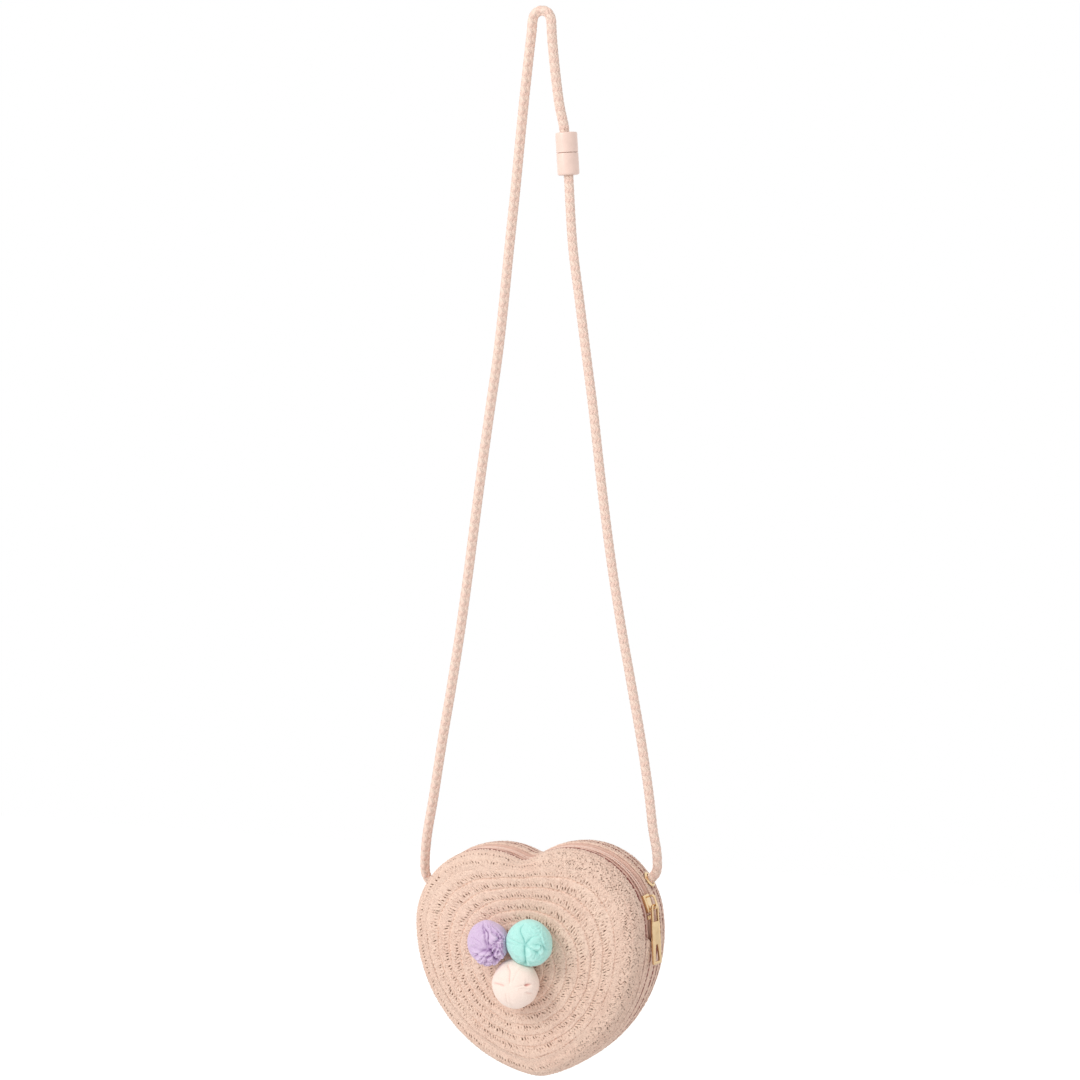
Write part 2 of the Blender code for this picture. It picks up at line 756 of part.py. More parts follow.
def make_pull(finishes, pivot_empty):
    """The pull tab: a flat bar with a slot round the bail and a window near its foot.

    It hangs over the widest part of the bag, which holds its foot a little away from plumb.
    """
    frame = Matrix.Rotation(-PULL_TURN, 4, "Z") @ Matrix.Rotation(-pull_lean(), 4, "Y")
    half = PULL_WIDTH / 2
    top = -PULL_EYE_BAR / 2
    shoulder = PULL_SHOULDER
    right = (
        (half - 2 * shoulder, top),
        (half - shoulder, top + shoulder / 2),
        (half - shoulder / 2, top + 2 * shoulder),
        (half - shoulder / 2, PULL_SLOT_LENGTH),
        (half, PULL_SLOT_LENGTH + 2 * shoulder),
        (half, PULL_LENGTH - shoulder / 2),
        (half - shoulder / 2, PULL_LENGTH),
    )
    outline = [*right, *[(-x, down) for x, down in reversed(right)]]
    plate = prism("pull_tab", outline, PULL_THICKNESS, frame)
    pull = finish_object("pull_tab", plate, finishes["gold"], pivot_empty)
    slot_top = PULL_EYE_BAR / 2
    slot_foot = slot_top + PULL_SLOT_LENGTH
    slot = (
        (PULL_SLOT_WIDTH / 2, slot_top),
        (PULL_SLOT_WIDTH / 2, slot_foot - shoulder),
        (PULL_SLOT_FOOT / 2, slot_foot - shoulder / 2),
        (PULL_SLOT_FOOT / 2, slot_foot),
    )
    window_foot = PULL_LENGTH - PULL_END_BAR
    window = ((PULL_WINDOW_TOP / 2, window_foot - PULL_WINDOW_LENGTH), (PULL_WINDOW_FOOT / 2, window_foot))
    for name, side_points in (("pull_slot", slot), ("pull_window", window)):
        hole = [*side_points, *[(-x, down) for x, down in reversed(side_points)]]
        cutter = finish_object(name, prism(name, hole, 2 * PULL_THICKNESS, frame), finishes["gold"], pivot_empty)
        hide_cutter(cutter)
        cut(pull, cutter)
    bevel = pull.modifiers.new("edges", "BEVEL")
    bevel.width = PULL_BEVEL
    bevel.segments = 1
    bevel.limit_method = "ANGLE"
    bevel.angle_limit = math.radians(50)


# Turned pieces


def turned_mesh(name, profile, steps, frame):
    """A closed turned solid. profile holds radius and height; it either closes on itself or ends on the axis."""
    points = []
    faces = []
    on_axis = [radius == 0 for radius, _ in profile]
    rows = []
    for radius, height in profile:
        if radius == 0:
            rows.append([len(points)] * steps)
            points.append(frame @ Vector((0, 0, height)))
            continue
        rows.append(list(range(len(points), len(points) + steps)))
        for step in range(steps):
            angle = math.tau * step / steps
            points.append(frame @ Vector((radius * math.cos(angle), radius * math.sin(angle), height)))
    closes = not any(on_axis)
    pairs = list(zip(rows, rows[1:] + rows[:1])) if closes else list(zip(rows, rows[1:]))
    for first, second in pairs:
        for step in range(steps):
            after = (step + 1) % steps
            corners = (first[step], first[after], second[after], second[step])
            faces.append(tuple(dict.fromkeys(corners)))
    return mesh_from(name, points, faces)


def eyelet_frame(side):
    """Frame on the outside of the straw at an eyelet, its z pointing out square to the surface."""
    right = run_to_lobe_angle(RIGHT_EYELET_ANGLE)
    left = 2 * sum(arc_lengths()) - run_to_lobe_angle(LEFT_EYELET_ANGLE)
    run = right if side > 0 else left
    points, normals = outline_at([run])
    inset, _ = rim_profile(np.float64(EYELET_Y), 0.0)
    deep_inset, deep_y = rim_profile(np.float64(EYELET_Y), STRAW_WALL)
    spot = place(points, normals, inset, EYELET_Y)[0]
    deeper = place(points, normals, deep_inset, deep_y)[0]
    out = Vector(spot - deeper).normalized()
    turn = Vector((0, 0, 1)).rotation_difference(out).to_matrix().to_4x4()
    return Matrix.Translation(Vector(spot)) @ turn


def washer_top():
    return -(lining_depth() + LINING_THICKNESS + WASHER_STANDOFF)


def make_eyelets(finishes, bag):
    """Each eyelet is a flanged barrel through the wall, with a washer under the lining."""
    bore = EYELET_BORE / 2
    barrel = bore + EYELET_WALL
    flange = EYELET_FLANGE / 2
    thick = EYELET_FLANGE_THICKNESS
    tail = washer_top() - WASHER_THICKNESS - EYELET_TAIL
    eyelet = (
        (bore, tail),
        (barrel, tail),
        (barrel, GAP),
        (flange - thick / 2, GAP),
        (flange, GAP + thick / 2),
        (flange - thick / 2, GAP + thick),
        (bore + EYELET_WALL, GAP + thick + EYELET_WALL),
        (bore, GAP + thick),
    )
    low = washer_top() - WASHER_THICKNESS
    washer = (
        (barrel + GAP, washer_top()),
        (barrel + GAP, low),
        (WASHER_DIAMETER / 2, low),
        (WASHER_DIAMETER / 2, washer_top()),
    )
    for name, side in (("left", -1), ("right", 1)):
        frame = eyelet_frame(side)
        ring = turned_mesh("eyelet_" + name, eyelet, ROUND_STEPS, frame)
        plate = turned_mesh("eyelet_washer_" + name, washer, SMALL_ROUND_STEPS, frame)
        finish_object("eyelet_" + name, ring, finishes["gold"], bag)
        finish_object("eyelet_washer_" + name, plate, finishes["gold"], bag)
        make_knot("strap_knot_" + name, frame, -ROPE_INSIDE - GAP, KNOT_DIAMETER, KNOT_LENGTH, finishes, bag)


def make_knot(name, frame, top, diameter, length, finishes, parent):
    """A pulled-tight end knot, as a round lump with a flat where the rope comes out of it."""
    flat = diameter / 2 * KNOT_FLAT_SHARE
    rows = KNOT_ROWS
    profile = [(0, top), (flat, top)]
    for row in range(1, rows):
        angle = math.pi * row / rows
        radius = flat + (diameter / 2 - flat) * math.sin(angle)
        profile.append((radius, top - length / 2 * (1 - math.cos(angle))))
    profile += [(flat, top - length), (0, top - length)]
    mesh = turned_mesh(name, profile, SMALL_ROUND_STEPS, frame)
    finish_object(name, mesh, finishes["rope"], parent)


# Strap


def smooth_route(route):
    """Points along a smooth curve through the route's own points, closer where these are closer."""
    knots = [Vector(point) for point in route]
    first = knots[0] * 2 - knots[1]
    last = knots[-1] * 2 - knots[-2]
    padded = [first, *knots, last]
    made = []
    for before, start, end, after in zip(padded, padded[1:], padded[2:], padded[3:]):
        steps = max(1, round((end - start).length / ROPE_POINT_SPACING))
        for step in range(steps):
            made.append(curve_between(before, start, end, after, step / steps))
    made.append(knots[-1])
    return made


def curve_between(before, start, end, after, share):
    """A point between start and end on the curve that passes evenly through all four points."""
    gaps = [math.sqrt((b - a).length) for a, b in ((before, start), (start, end), (end, after))]
    times = [0.0, gaps[0], gaps[0] + gaps[1], sum(gaps)]
    time = times[1] + (times[2] - times[1]) * share
    points = [before, start, end, after]
    firsts = [blend(points, times, i, i + 1, time) for i in (0, 1, 2)]
    seconds = [blend(firsts, times, i, i + 2, time) for i in (0, 1)]
    return blend(seconds, times, 1, 2, time, 0)


def blend(points, times, first, last, time, index=None):
    """Mix of two neighbouring points by where time lies between two of the times."""
    index = first if index is None else index
    share = (time - times[first]) / (times[last] - times[first])
    return points[index] * (1 - share) + points[index + 1] * share


def through_eyelet(bag, side, bend):
    """Centre line from the knot inside the bag, out through the eyelet and round towards the strap."""
    frame = bag.matrix_basis @ eyelet_frame(side)
    straight = [frame @ Vector((0, 0, depth)) for depth in (-ROPE_INSIDE, 0)]
    curved = [frame @ Vector((0, 0, out)) + Vector((0, y, z)) for out, y, z in bend]
    return straight + curved


def into_clasp(end, outside, aside):
    """Centre line from just outside the clasp to just short of the knot inside it."""
    frame = clasp_frame()
    return [frame @ Vector((aside, 0, height)) for height in (outside, end)]


def make_strap(finishes, bag):
    """Both stretches of the strap, from the eyelets to the two halves of the clasp."""
    upper_end = CLASP_UPPER - CLASP_FLOOR
    lower_end = CLASP_FLOOR - CLASP_LOWER
    upper = through_eyelet(bag, -1, LEFT_EYELET_ROUTE)
    upper += [Vector(point) for point in STRAP_ROUTE]
    upper += into_clasp(upper_end, CLASP_UPPER + CLASP_ROPE_LEAD, CLASP_TOP_OFFSET)
    lower = into_clasp(lower_end, -CLASP_LOWER - CLASP_ROPE_LEAD, 0)[::-1]
    lower += [Vector(point) for point in LOWER_STRAP_ROUTE]
    lower += through_eyelet(bag, 1, RIGHT_EYELET_ROUTE)[::-1]
    count = make_rope("strap_rope", upper, finishes)
    return count + make_rope("strap_rope_lower", lower, finishes)


def make_rope(name, route, finishes):
    """A stretch of the strap as a round tube along its route."""
    curve = bpy.data.curves.new(name, "CURVE")
    curve.dimensions = "3D"
    curve.bevel_depth = ROPE_DIAMETER / 2
    curve.bevel_resolution = 2
    curve.use_fill_caps = True
    spline = curve.splines.new("POLY")
    points = smooth_route(route)
    spline.points.add(len(points) - 1)
    for slot, point in zip(spline.points, points):
        slot.co = (*point, 1.0)
    curve.materials.append(finishes["rope"])
    obj = bpy.data.objects.new(name, curve)
    bpy.context.scene.collection.objects.link(obj)
    return len(points)


# Clasp


def clasp_frame():
    """Frame at the parting line of the clasp, its z up along the rope."""
    total = CLASP_UPPER + CLASP_LOWER
    lift = total * CLASP_CENTRE_SHARE - CLASP_UPPER
    turn = Matrix.Rotation(-CLASP_TILT, 4, "Y")
    return Matrix.Translation(Vector(CLASP_CENTRE)) @ turn @ Matrix.Translation(Vector((0, 0, lift)))


def make_clasp(finishes, plug_empty):
    """A barrel in two halves that pull apart: the socket above and the plug below, each round a knot."""
    outer = CLASP_DIAMETER / 2
    hole = ROPE_DIAMETER / 2 + CLASP_ROPE_CLEARANCE
    top_hole = ROPE_DIAMETER / 2 + CLASP_TOP_CLEARANCE
    cavity = outer - CLASP_WALL
    edge = CLASP_EDGE
    lip = CLASP_LIP
    parting = GAP / 2
    ceiling = CLASP_UPPER - CLASP_FLOOR
    socket = (
        (cavity, parting),
        (outer - lip, parting),
        (outer, parting + lip),
        (outer, CLASP_UPPER - edge),
        (outer - edge / 3, CLASP_UPPER - edge / 3),
        (outer - edge, CLASP_UPPER),
        (top_hole, CLASP_UPPER),
        (top_hole, ceiling),
        (cavity, ceiling),
    )
    plug = cavity - GAP
    plug_bore = plug - CLASP_PLUG_WALL
    knot_bore = outer - 2 * CLASP_WALL
    floor = -(CLASP_LOWER - CLASP_FLOOR)
    plug_profile = (
        (plug_bore, CLASP_PLUG_LENGTH),
        (plug - lip, CLASP_PLUG_LENGTH),
        (plug, CLASP_PLUG_LENGTH - lip),
        (plug, -parting),
        (outer - lip, -parting),
        (outer, -parting - lip),
        (outer, -CLASP_LOWER + edge),
        (outer - edge / 3, -CLASP_LOWER + edge / 3),
        (outer - edge, -CLASP_LOWER),
        (hole, -CLASP_LOWER),
        (hole, floor),
        (knot_bore, floor),
        (knot_bore, -CLASP_BORE_NECK),
        (plug_bore, -CLASP_BORE_NECK),
    )
    frame = clasp_frame()
    upper = turned_mesh("clasp_socket", socket, ROUND_STEPS, frame)
    finish_object("clasp_socket", upper, finishes["clasp"], None)
    local = Matrix.Translation(plug_empty.location).inverted() @ frame
    lower = turned_mesh("clasp_plug", plug_profile, ROUND_STEPS, local)
    finish_object("clasp_plug", lower, finishes["clasp"], plug_empty)
    upper_knot = 2 * (cavity - GAP)
    lower_knot = 2 * (knot_bore - GAP)
    length = CLASP_KNOT_LENGTH
    make_knot("clasp_knot_upper", frame, ceiling - GAP, upper_knot, length, finishes, None)
    make_knot("clasp_knot_lower", local, floor + GAP + length, lower_knot, length, finishes, plug_empty)


# Pompoms


def make_pompoms(finishes, bag):
    """Gathered tulle balls sewn to the front, a little flat from front to back, with folds round them."""
    rows = POMPOM_ROWS
    steps = 2 * POMPOM_FOLDS
    for name, x, z, radius in POMPOMS:
        back = face_surface_y(x, z) - GAP
        middle = np.array([x, back - POMPOM_HALF_DEPTH, z])
        polar = np.pi * np.arange(1, rows) / rows
        turn = math.tau * np.arange(steps) / steps
        polar_grid, turn_grid = np.meshgrid(polar, turn, indexing="ij")
        fold = 1 - POMPOM_FOLD_SHARE * (1 - np.cos(POMPOM_FOLDS * turn_grid)) / 2 * np.sin(polar_grid)
        reach = radius * fold * np.sin(polar_grid)
        points = np.column_stack(
            [
                (middle[0] + reach * np.cos(turn_grid)).ravel(),
                (middle[1] - POMPOM_HALF_DEPTH * np.cos(polar_grid)).ravel(),
                (middle[2] + reach * np.sin(turn_grid)).ravel(),
            ]
        )
        poles = middle + np.array([[0, -POMPOM_HALF_DEPTH, 0], [0, POMPOM_HALF_DEPTH, 0]])
        stacked = np.vstack([points, poles])
        front_pole, back_pole = len(points), len(points) + 1
        faces = []
        for row in range(rows - 2):
            faces += band(row * steps, (row + 1) * steps, steps)
        last = (rows - 2) * steps
        faces += [(i, (i + 1) % steps, front_pole) for i in range(steps)]
        faces += [(last + i, last + (i + 1) % steps, back_pole) for i in range(steps)]
        finish = finishes["tulle_" + name.split("_")[1]]
        finish_object(name, mesh_from(name, stacked, faces), finish, bag)


def main():
    clear_scene()
    finishes = make_materials()
    bag = empty("bag_frame", (-BAG_SHIFT, 0, -BAG_DROP))
    bag.rotation_euler = (0, -BAG_ROLL, 0)
    lobe = lobe_centre()
    slider_axis = empty("slider_axis", (lobe[0], 0, lobe[1]), bag)
    pivot = empty("pull_pivot", pull_pivot(), slider_axis)
    pivot.rotation_euler = (0, BAG_ROLL, 0)
    plug_axis = empty("clasp_plug_axis", CLASP_CENTRE)
    make_body(finishes, bag)
    make_zip(finishes, bag)
    make_slider(finishes, slider_axis)
    make_bail(finishes, slider_axis)
    make_pull(finishes, pivot)
    make_eyelets(finishes, bag)
    print("strap points", make_strap(finishes, bag))
    make_clasp(finishes, plug_axis)
    make_pompoms(finishes, bag)
    bpy.context.view_layer.update()


main()
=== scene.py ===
"""Looks of the heart-shaped straw bag: braided straw, rope strap, tulle pompoms, zip, clasp and gold.

Metres, +Z up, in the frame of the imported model. The front of the bag faces -Y, and the strap hangs from the
origin. Most pieces are surfaces worked out on grids with numpy, each in the place of the CAD node that it
stands for. The slider, its bail, the pull and the zip's stops are copies of their nodes with rounded edges.
"""

import math
from collections import namedtuple

import bmesh
import bpy
import numpy as np
from bpy.props import FloatProperty, FloatVectorProperty, IntProperty, PointerProperty
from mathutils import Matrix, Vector


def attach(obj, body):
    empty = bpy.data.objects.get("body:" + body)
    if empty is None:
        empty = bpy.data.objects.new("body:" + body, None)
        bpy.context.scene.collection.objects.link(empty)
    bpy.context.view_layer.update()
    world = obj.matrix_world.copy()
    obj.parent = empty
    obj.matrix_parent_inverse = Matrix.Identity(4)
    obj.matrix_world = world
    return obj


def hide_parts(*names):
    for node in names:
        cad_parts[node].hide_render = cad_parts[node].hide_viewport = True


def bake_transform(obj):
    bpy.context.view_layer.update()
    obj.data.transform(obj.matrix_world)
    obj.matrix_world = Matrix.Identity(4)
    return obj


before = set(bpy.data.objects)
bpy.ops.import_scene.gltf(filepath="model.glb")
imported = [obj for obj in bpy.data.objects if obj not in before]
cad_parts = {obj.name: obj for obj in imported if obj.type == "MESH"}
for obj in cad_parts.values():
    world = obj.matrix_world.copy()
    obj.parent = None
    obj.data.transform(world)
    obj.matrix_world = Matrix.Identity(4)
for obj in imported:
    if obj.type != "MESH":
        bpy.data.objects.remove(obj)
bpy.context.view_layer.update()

bl_info = {
    "name": "Straw heart bag",
    "version": (1, 0, 0),
    "blender": (4, 5, 0),
    "location": "3D View > Sidebar > Straw bag",
    "description": "Dresses the frame of a heart-shaped straw bag with braid, rope, tulle, zip and gold",
    "category": "Object",
}

MM = 0.001
# Points of a mesh that agree when they are counted in this many steps to the metre are one
MERGE_STEPS = 1e7
# Farthest that doubles of a CAD copy lie apart
CAD_MERGE = 2e-5
BAG_BODY = "bag_and_strap"

# Bag frame: x and z lie in its face, turned by the roll about the bag's centre
BAG_CENTRE = np.array([-0.0007, 0.0, -0.6273])
BAG_ROLL = math.radians(4.5)

# Heart outline, as the model's own: arcs of the tip, flank, lobe and cleft
BAG_WIDTH = 0.170
BAG_HEIGHT = 0.1588
LOBE_RADIUS = 0.054
CLEFT_RADIUS = 0.0105
FLANK_RADIUS = 0.104
TIP_RADIUS = 0.025
CENTRE_BELOW_TOP = 0.0654

# Section of the body
BAG_DEPTH = 0.0595
RIM_INSET = 0.0126
RIM_POWER = 3.0
FRONT_CROWN = 0.0025
STRAW_WALL = 0.0025
LAYER_GAP = 0.0003

# Zip, with its angles counted about the lobe from where the flank ends
ZIP_Y = -0.006
ZIP_MOUTH = 0.0186
ZIP_END_ANGLE = math.radians(-10.7)
ZIP_END_TAPER = 0.008
ZIP_CHANNEL = 0.0012
TAPE_WIDTH = 0.0105
TAPE_TUCK = 0.004
TAPE_THICKNESS = 0.0006
COIL_WIDTH = 0.0019
COIL_HEIGHT = 0.0014
COIL_END_ANGLE = math.radians(2.3)
LINING_THICKNESS = 0.0006
LINING_SETBACK = 0.0031
LINING_COLOUR = (0.80, 0.70, 0.60)
# Places across a tape, from the middle of the zip's channel: the fold beside the coil and the band of painted
# shade round it, the ridge with its seam, and the painted shade of the edge under the straw, from where it
# starts to where it is whole
TAPE_FOLD_AT = 0.0041
TAPE_GROOVE_AT = 0.0038
TAPE_RIDGE_AT = 0.0069
TAPE_EDGE_AT = (0.0079, 0.0086)
TAPE_STITCH = 0.0016
# Stitches along the fold: distance from the coil, thickness, and length as a share of their pitch
STITCH_FROM_COIL = 0.0017
STITCH_THICKNESS = 0.00028
STITCH_SHARE = 0.72
# Bevels of the gold pieces
STOP_BEVEL = 0.00015
SLIDER_BEVEL = 0.00018
PULL_BEVEL = 0.00022

# Eyelets
LEFT_EYELET_ANGLE = math.radians(21.3)
RIGHT_EYELET_ANGLE = math.radians(25.3)
EYELET_Y = 0.011
EYELET_BORE = 0.0076
EYELET_WALL = 0.0005
EYELET_FLANGE = 0.0115
EYELET_FLANGE_THICKNESS = 0.0009
EYELET_TAIL = 0.0009
WASHER_RADIUS = 0.006
WASHER_THICKNESS = 0.0008
WASHER_SETBACK = 0.0008

# Strap
ROPE_DIAMETER = 0.007
ROPE_INSIDE = 0.007
KNOT_DIAMETER = 0.0125
KNOT_LENGTH = 0.0105
CLASP_KNOT_LENGTH = 0.0052
STRANDS = 8
STRAND_POINTS = 9
ROUTE_SPACING = 0.0012
CORD_PATH_POINTS = 300

# Clasp
CLASP_CENTRE = np.array([0.01825, 0.0007, -0.0925])
CLASP_TILT = math.radians(3.6)
CLASP_DIAMETER = 0.0148
CLASP_UPPER = 0.0137
CLASP_LOWER = 0.0150
CLASP_WALL = 0.0017
CLASP_FLOOR = 0.0025
CLASP_ROPE_LEAD = 0.003
CLASP_TOP_OFFSET = -0.0012
CLASP_MOUTH_CLEARANCE = 0.0015
CLASP_BORE_CLEARANCE = 0.0004
PLUG_WALL = 0.0013
PLUG_TOP = 0.005
PLUG_FOOT = -0.001

# Pompoms. place: bag x and z on the front in the model. moved: from there to where the photo shows the
# ball's middle. fullness: share of the model's radius. crumple, pit: strength of the crinkles and depth of
# the gathered point. point: from the ball's middle to the gathered point. deep: colour in the creases. Main
# creases: angle in degrees, where each starts and ends from the gathered point, in radians, its strength
# and its bend.
# Each pompom's deep colour is the painted shade in its creases
POMPOMS = (
    {
        "node": "pompom_lilac", "shade": "lilac", "deep": (0.30, 0.15, 0.37), "place": (-0.0194, 0.0046),
        "moved": (-0.0012, 0.0), "radius": 0.0145, "fullness": 1.03, "crumple": 1.5, "pit": 0.8,
        "point": (0.0046, -0.0020), "seed": 11,
        "creases": (
            (-50, 0.0, 1.7, 1.2, 0.0), (112, 0.1, 1.3, 0.7, 0.25), (80, 0.1, 1.1, 0.8, -0.2),
            (150, 0.2, 1.0, 0.4, 0.3), (205, 0.1, 1.0, 0.6, -0.3), (250, 0.1, 1.1, 0.6, 0.2),
            (35, 0.1, 1.0, 0.6, 0.2),
        ),
    },
    {
        "node": "pompom_mint", "shade": "mint", "deep": (0.13, 0.48, 0.44), "place": (0.0101, 0.0050),
        "moved": (-0.0002, -0.0010), "radius": 0.0145, "fullness": 1.11, "crumple": 0.6, "pit": 0.8,
        "point": (0.0012, 0.0010), "seed": 16,
        "creases": (
            (98, 0.05, 1.0, 0.65, 0.05), (258, 0.05, 1.2, 0.85, -0.1), (40, 0.0, 0.55, 0.5, 0.0),
            (172, 0.1, 0.9, 0.4, 0.1), (192, 0.2, 1.1, 0.35, 0.1), (325, 0.1, 0.9, 0.5, 0.2),
            (350, 0.1, 1.0, 0.35, 0.0),
        ),
    },
    {
        "node": "pompom_cream", "shade": "cream", "deep": (0.86, 0.42, 0.38), "place": (-0.0019, -0.0236),
        "moved": (-0.0004, -0.0002), "radius": 0.0150, "fullness": 1.10, "crumple": 0.12, "pit": 0.15,
        "point": (0.0, 0.0), "seed": 21,
        "creases": (
            (92, 0.1, 1.2, 0.55, 0.05), (180, 0.15, 0.95, 0.75, 0.0), (3, 0.65, 0.95, 1.5, 0.0),
            (338, 0.7, 1.2, 0.5, 0.1), (60, 0.2, 1.2, 0.2, 0.0),
        ),
    },
)
POMPOM_HALF_DEPTH = 0.0115
# Half the gap where two of them meet
POMPOM_GAP = 0.0001

# Camera of the photograph, and the floor well below the hanging bag
CAMERA_AZIMUTH = math.radians(22.5)
CAMERA_ELEVATION = math.radians(5.0)
CAMERA_DISTANCE = 2.4
CAMERA_TARGET = np.array([-0.00135, 0.0, -0.3535])
SENSOR_WIDTH = 36.0
FRAME_WIDTH = 0.7344
FLOOR_HEIGHT = -1.15
FLOOR_REACH = 3.0
LAMP_PLACE = (-0.9, -1.5, 0.55)
LAMP_AIM = (0, 0, -0.55)
LAMP_SIZE = 0.9
LAMP_COLOUR = (1.0, 0.98, 0.95)
FILL_COLOUR = (1, 0.985, 0.97, 1)
WHITE = (1, 1, 1, 1)

# Centre line of the strap between its ends, as the model's own: up the left side and over to the clasp
STRAP_ROUTE = (
    (-0.08875, 0.0046, -0.5665), (-0.08265, 0.0037, -0.5346), (-0.07585, 0.0033, -0.4956),
    (-0.06855, 0.0029, -0.4569), (-0.06185, 0.0027, -0.4183), (-0.05595, 0.0025, -0.3800),
    (-0.05045, 0.0022, -0.3419), (-0.04495, 0.0020, -0.3040), (-0.03905, 0.0017, -0.2662),
    (-0.03305, 0.0015, -0.2286), (-0.02835, 0.0013, -0.1912), (-0.02415, 0.0010, -0.1540),
    (-0.01975, 0.0008, -0.1169), (-0.01495, 0.0005, -0.0726), (-0.01185, 0.0003, -0.0460),
    (-0.00855, 0.0001, -0.0194), (-0.00715, 0.0000, -0.0086), (-0.00685, 0.0000, -0.0033),
    (-0.00593, 0.0000, 0.0001), (-0.00343, 0.0000, 0.0026), (0.00000, 0.0000, 0.0035),
    (0.00343, 0.0000, 0.0026), (0.00593, 0.0000, 0.0001), (0.00685, 0.0000, -0.0033),
    (0.00705, 0.0000, -0.0089), (0.00775, 0.0001, -0.0196), (0.01255, 0.0004, -0.0596),
)
# The same from the clasp down the right side
LOWER_STRAP_ROUTE = (
    (0.02205, 0.0010, -0.1539), (0.02685, 0.0013, -0.1908), (0.03185, 0.0015, -0.2278),
    (0.03685, 0.0017, -0.2647), (0.04115, 0.0020, -0.3018), (0.04585, 0.0022, -0.3389),
    (0.05115, 0.0025, -0.3760), (0.05745, 0.0027, -0.4132), (0.06445, 0.0029, -0.4503),
    (0.07135, 0.0033, -0.4875), (0.07705, 0.0038, -0.5248), (0.07985, 0.0042, -0.5490),
)
# Centre line near an eyelet: height over the wall, and rise in y and z as the rope turns up
LEFT_EYELET_ROUTE = (
    (0.0020, 0.0000, 0.0000), (0.0060, -0.0008, 0.0010), (0.0085, -0.0022, 0.0039),
    (0.0090, -0.0036, 0.0083),
)
RIGHT_EYELET_ROUTE = (
    (0.0020, 0.0000, 0.0000), (0.0059, -0.0010, 0.0010), (0.0083, -0.0025, 0.0037),
    (0.0090, -0.0041, 0.0076), (0.0092, -0.0059, 0.0162),
)


# Small numpy helpers


def smoothstep(low, high, value):
    """0 below low, 1 above high, and 3t^2 - 2t^3 between them."""
    share = np.clip((np.asarray(value, float) - low) / (high - low), 0, 1)
    return share * share * (3 - 2 * share)


def unit(vectors):
    """Vectors divided by their lengths."""
    return vectors / np.linalg.norm(vectors, axis=-1, keepdims=True)


def stacked(*parts):
    """Arrays brought to one shape and laid side by side on a new last axis."""
    return np.stack(np.broadcast_arrays(*parts), axis=-1)


def lengths_along(line):
    """Length of a line of points from its start to each of them."""
    return np.concatenate([[0], np.cumsum(np.linalg.norm(np.diff(line, axis=0), axis=1))])


def from_bag(points):
    """Points of the bag's own frame, rolled about its centre and moved to where it hangs."""
    points = np.asarray(points, float)
    cosine, sine = math.cos(BAG_ROLL), math.sin(BAG_ROLL)
    x = points[..., 0] * cosine - points[..., 2] * sine
    z = points[..., 0] * sine + points[..., 2] * cosine
    return stacked(x, points[..., 1], z) + BAG_CENTRE


def wander(along, wavelength, seed):
    """A slow random wave, mostly between -1 and 1: five sines of seeded pitch and phase, added and scaled."""
    rng = np.random.default_rng(seed)
    pitch = rng.uniform(0.6, 1.7, 5)[:, None]
    phase = rng.uniform(0, math.tau, 5)[:, None]
    along = np.asarray(along, float)
    waves = np.sin(math.tau * pitch * along.ravel()[None, :] / wavelength + phase)
    return (waves.sum(0) / 2.6).reshape(along.shape)


NOISE_CELLS = 64


def lattice_noise(u, v, size_u, seed):
    """Smooth noise in 0 to 1 on the u, v plane, that repeats every size_u along u.

    Seeded values stand on whole numbers, and smoothstep weights mix the four round each place.
    """
    rng = np.random.default_rng(seed)
    size_v = NOISE_CELLS
    table = rng.random((size_u, size_v))
    cell_u, cell_v = np.floor(u).astype(int), np.floor(v).astype(int)
    share_u, share_v = smoothstep(0, 1, u - cell_u), smoothstep(0, 1, v - cell_v)
    near_u, far_u = cell_u % size_u, (cell_u + 1) % size_u
    near_v, far_v = cell_v % size_v, (cell_v + 1) % size_v
    low = table[near_u, near_v] * (1 - share_u) + table[far_u, near_v] * share_u
    high = table[near_u, far_v] * (1 - share_u) + table[far_u, far_v] * share_u
    return low * (1 - share_v) + high * share_v


# Meshes from arrays


def grid_quads(rows, columns, wrap_rows=False, wrap_columns=False):
    """Quads of a grid of rows by columns points, that may close on itself in either direction."""
    row = np.arange(rows if wrap_rows else rows - 1)[:, None]
    column = np.arange(columns if wrap_columns else columns - 1)[None, :]
    next_row, next_column = (row + 1) % rows, (column + 1) % columns
    corners = (
        row * columns + column,
        row * columns + next_column,
        next_row * columns + next_column,
        next_row * columns + column,
    )
    return np.stack(corners, axis=-1).reshape(-1, 4)


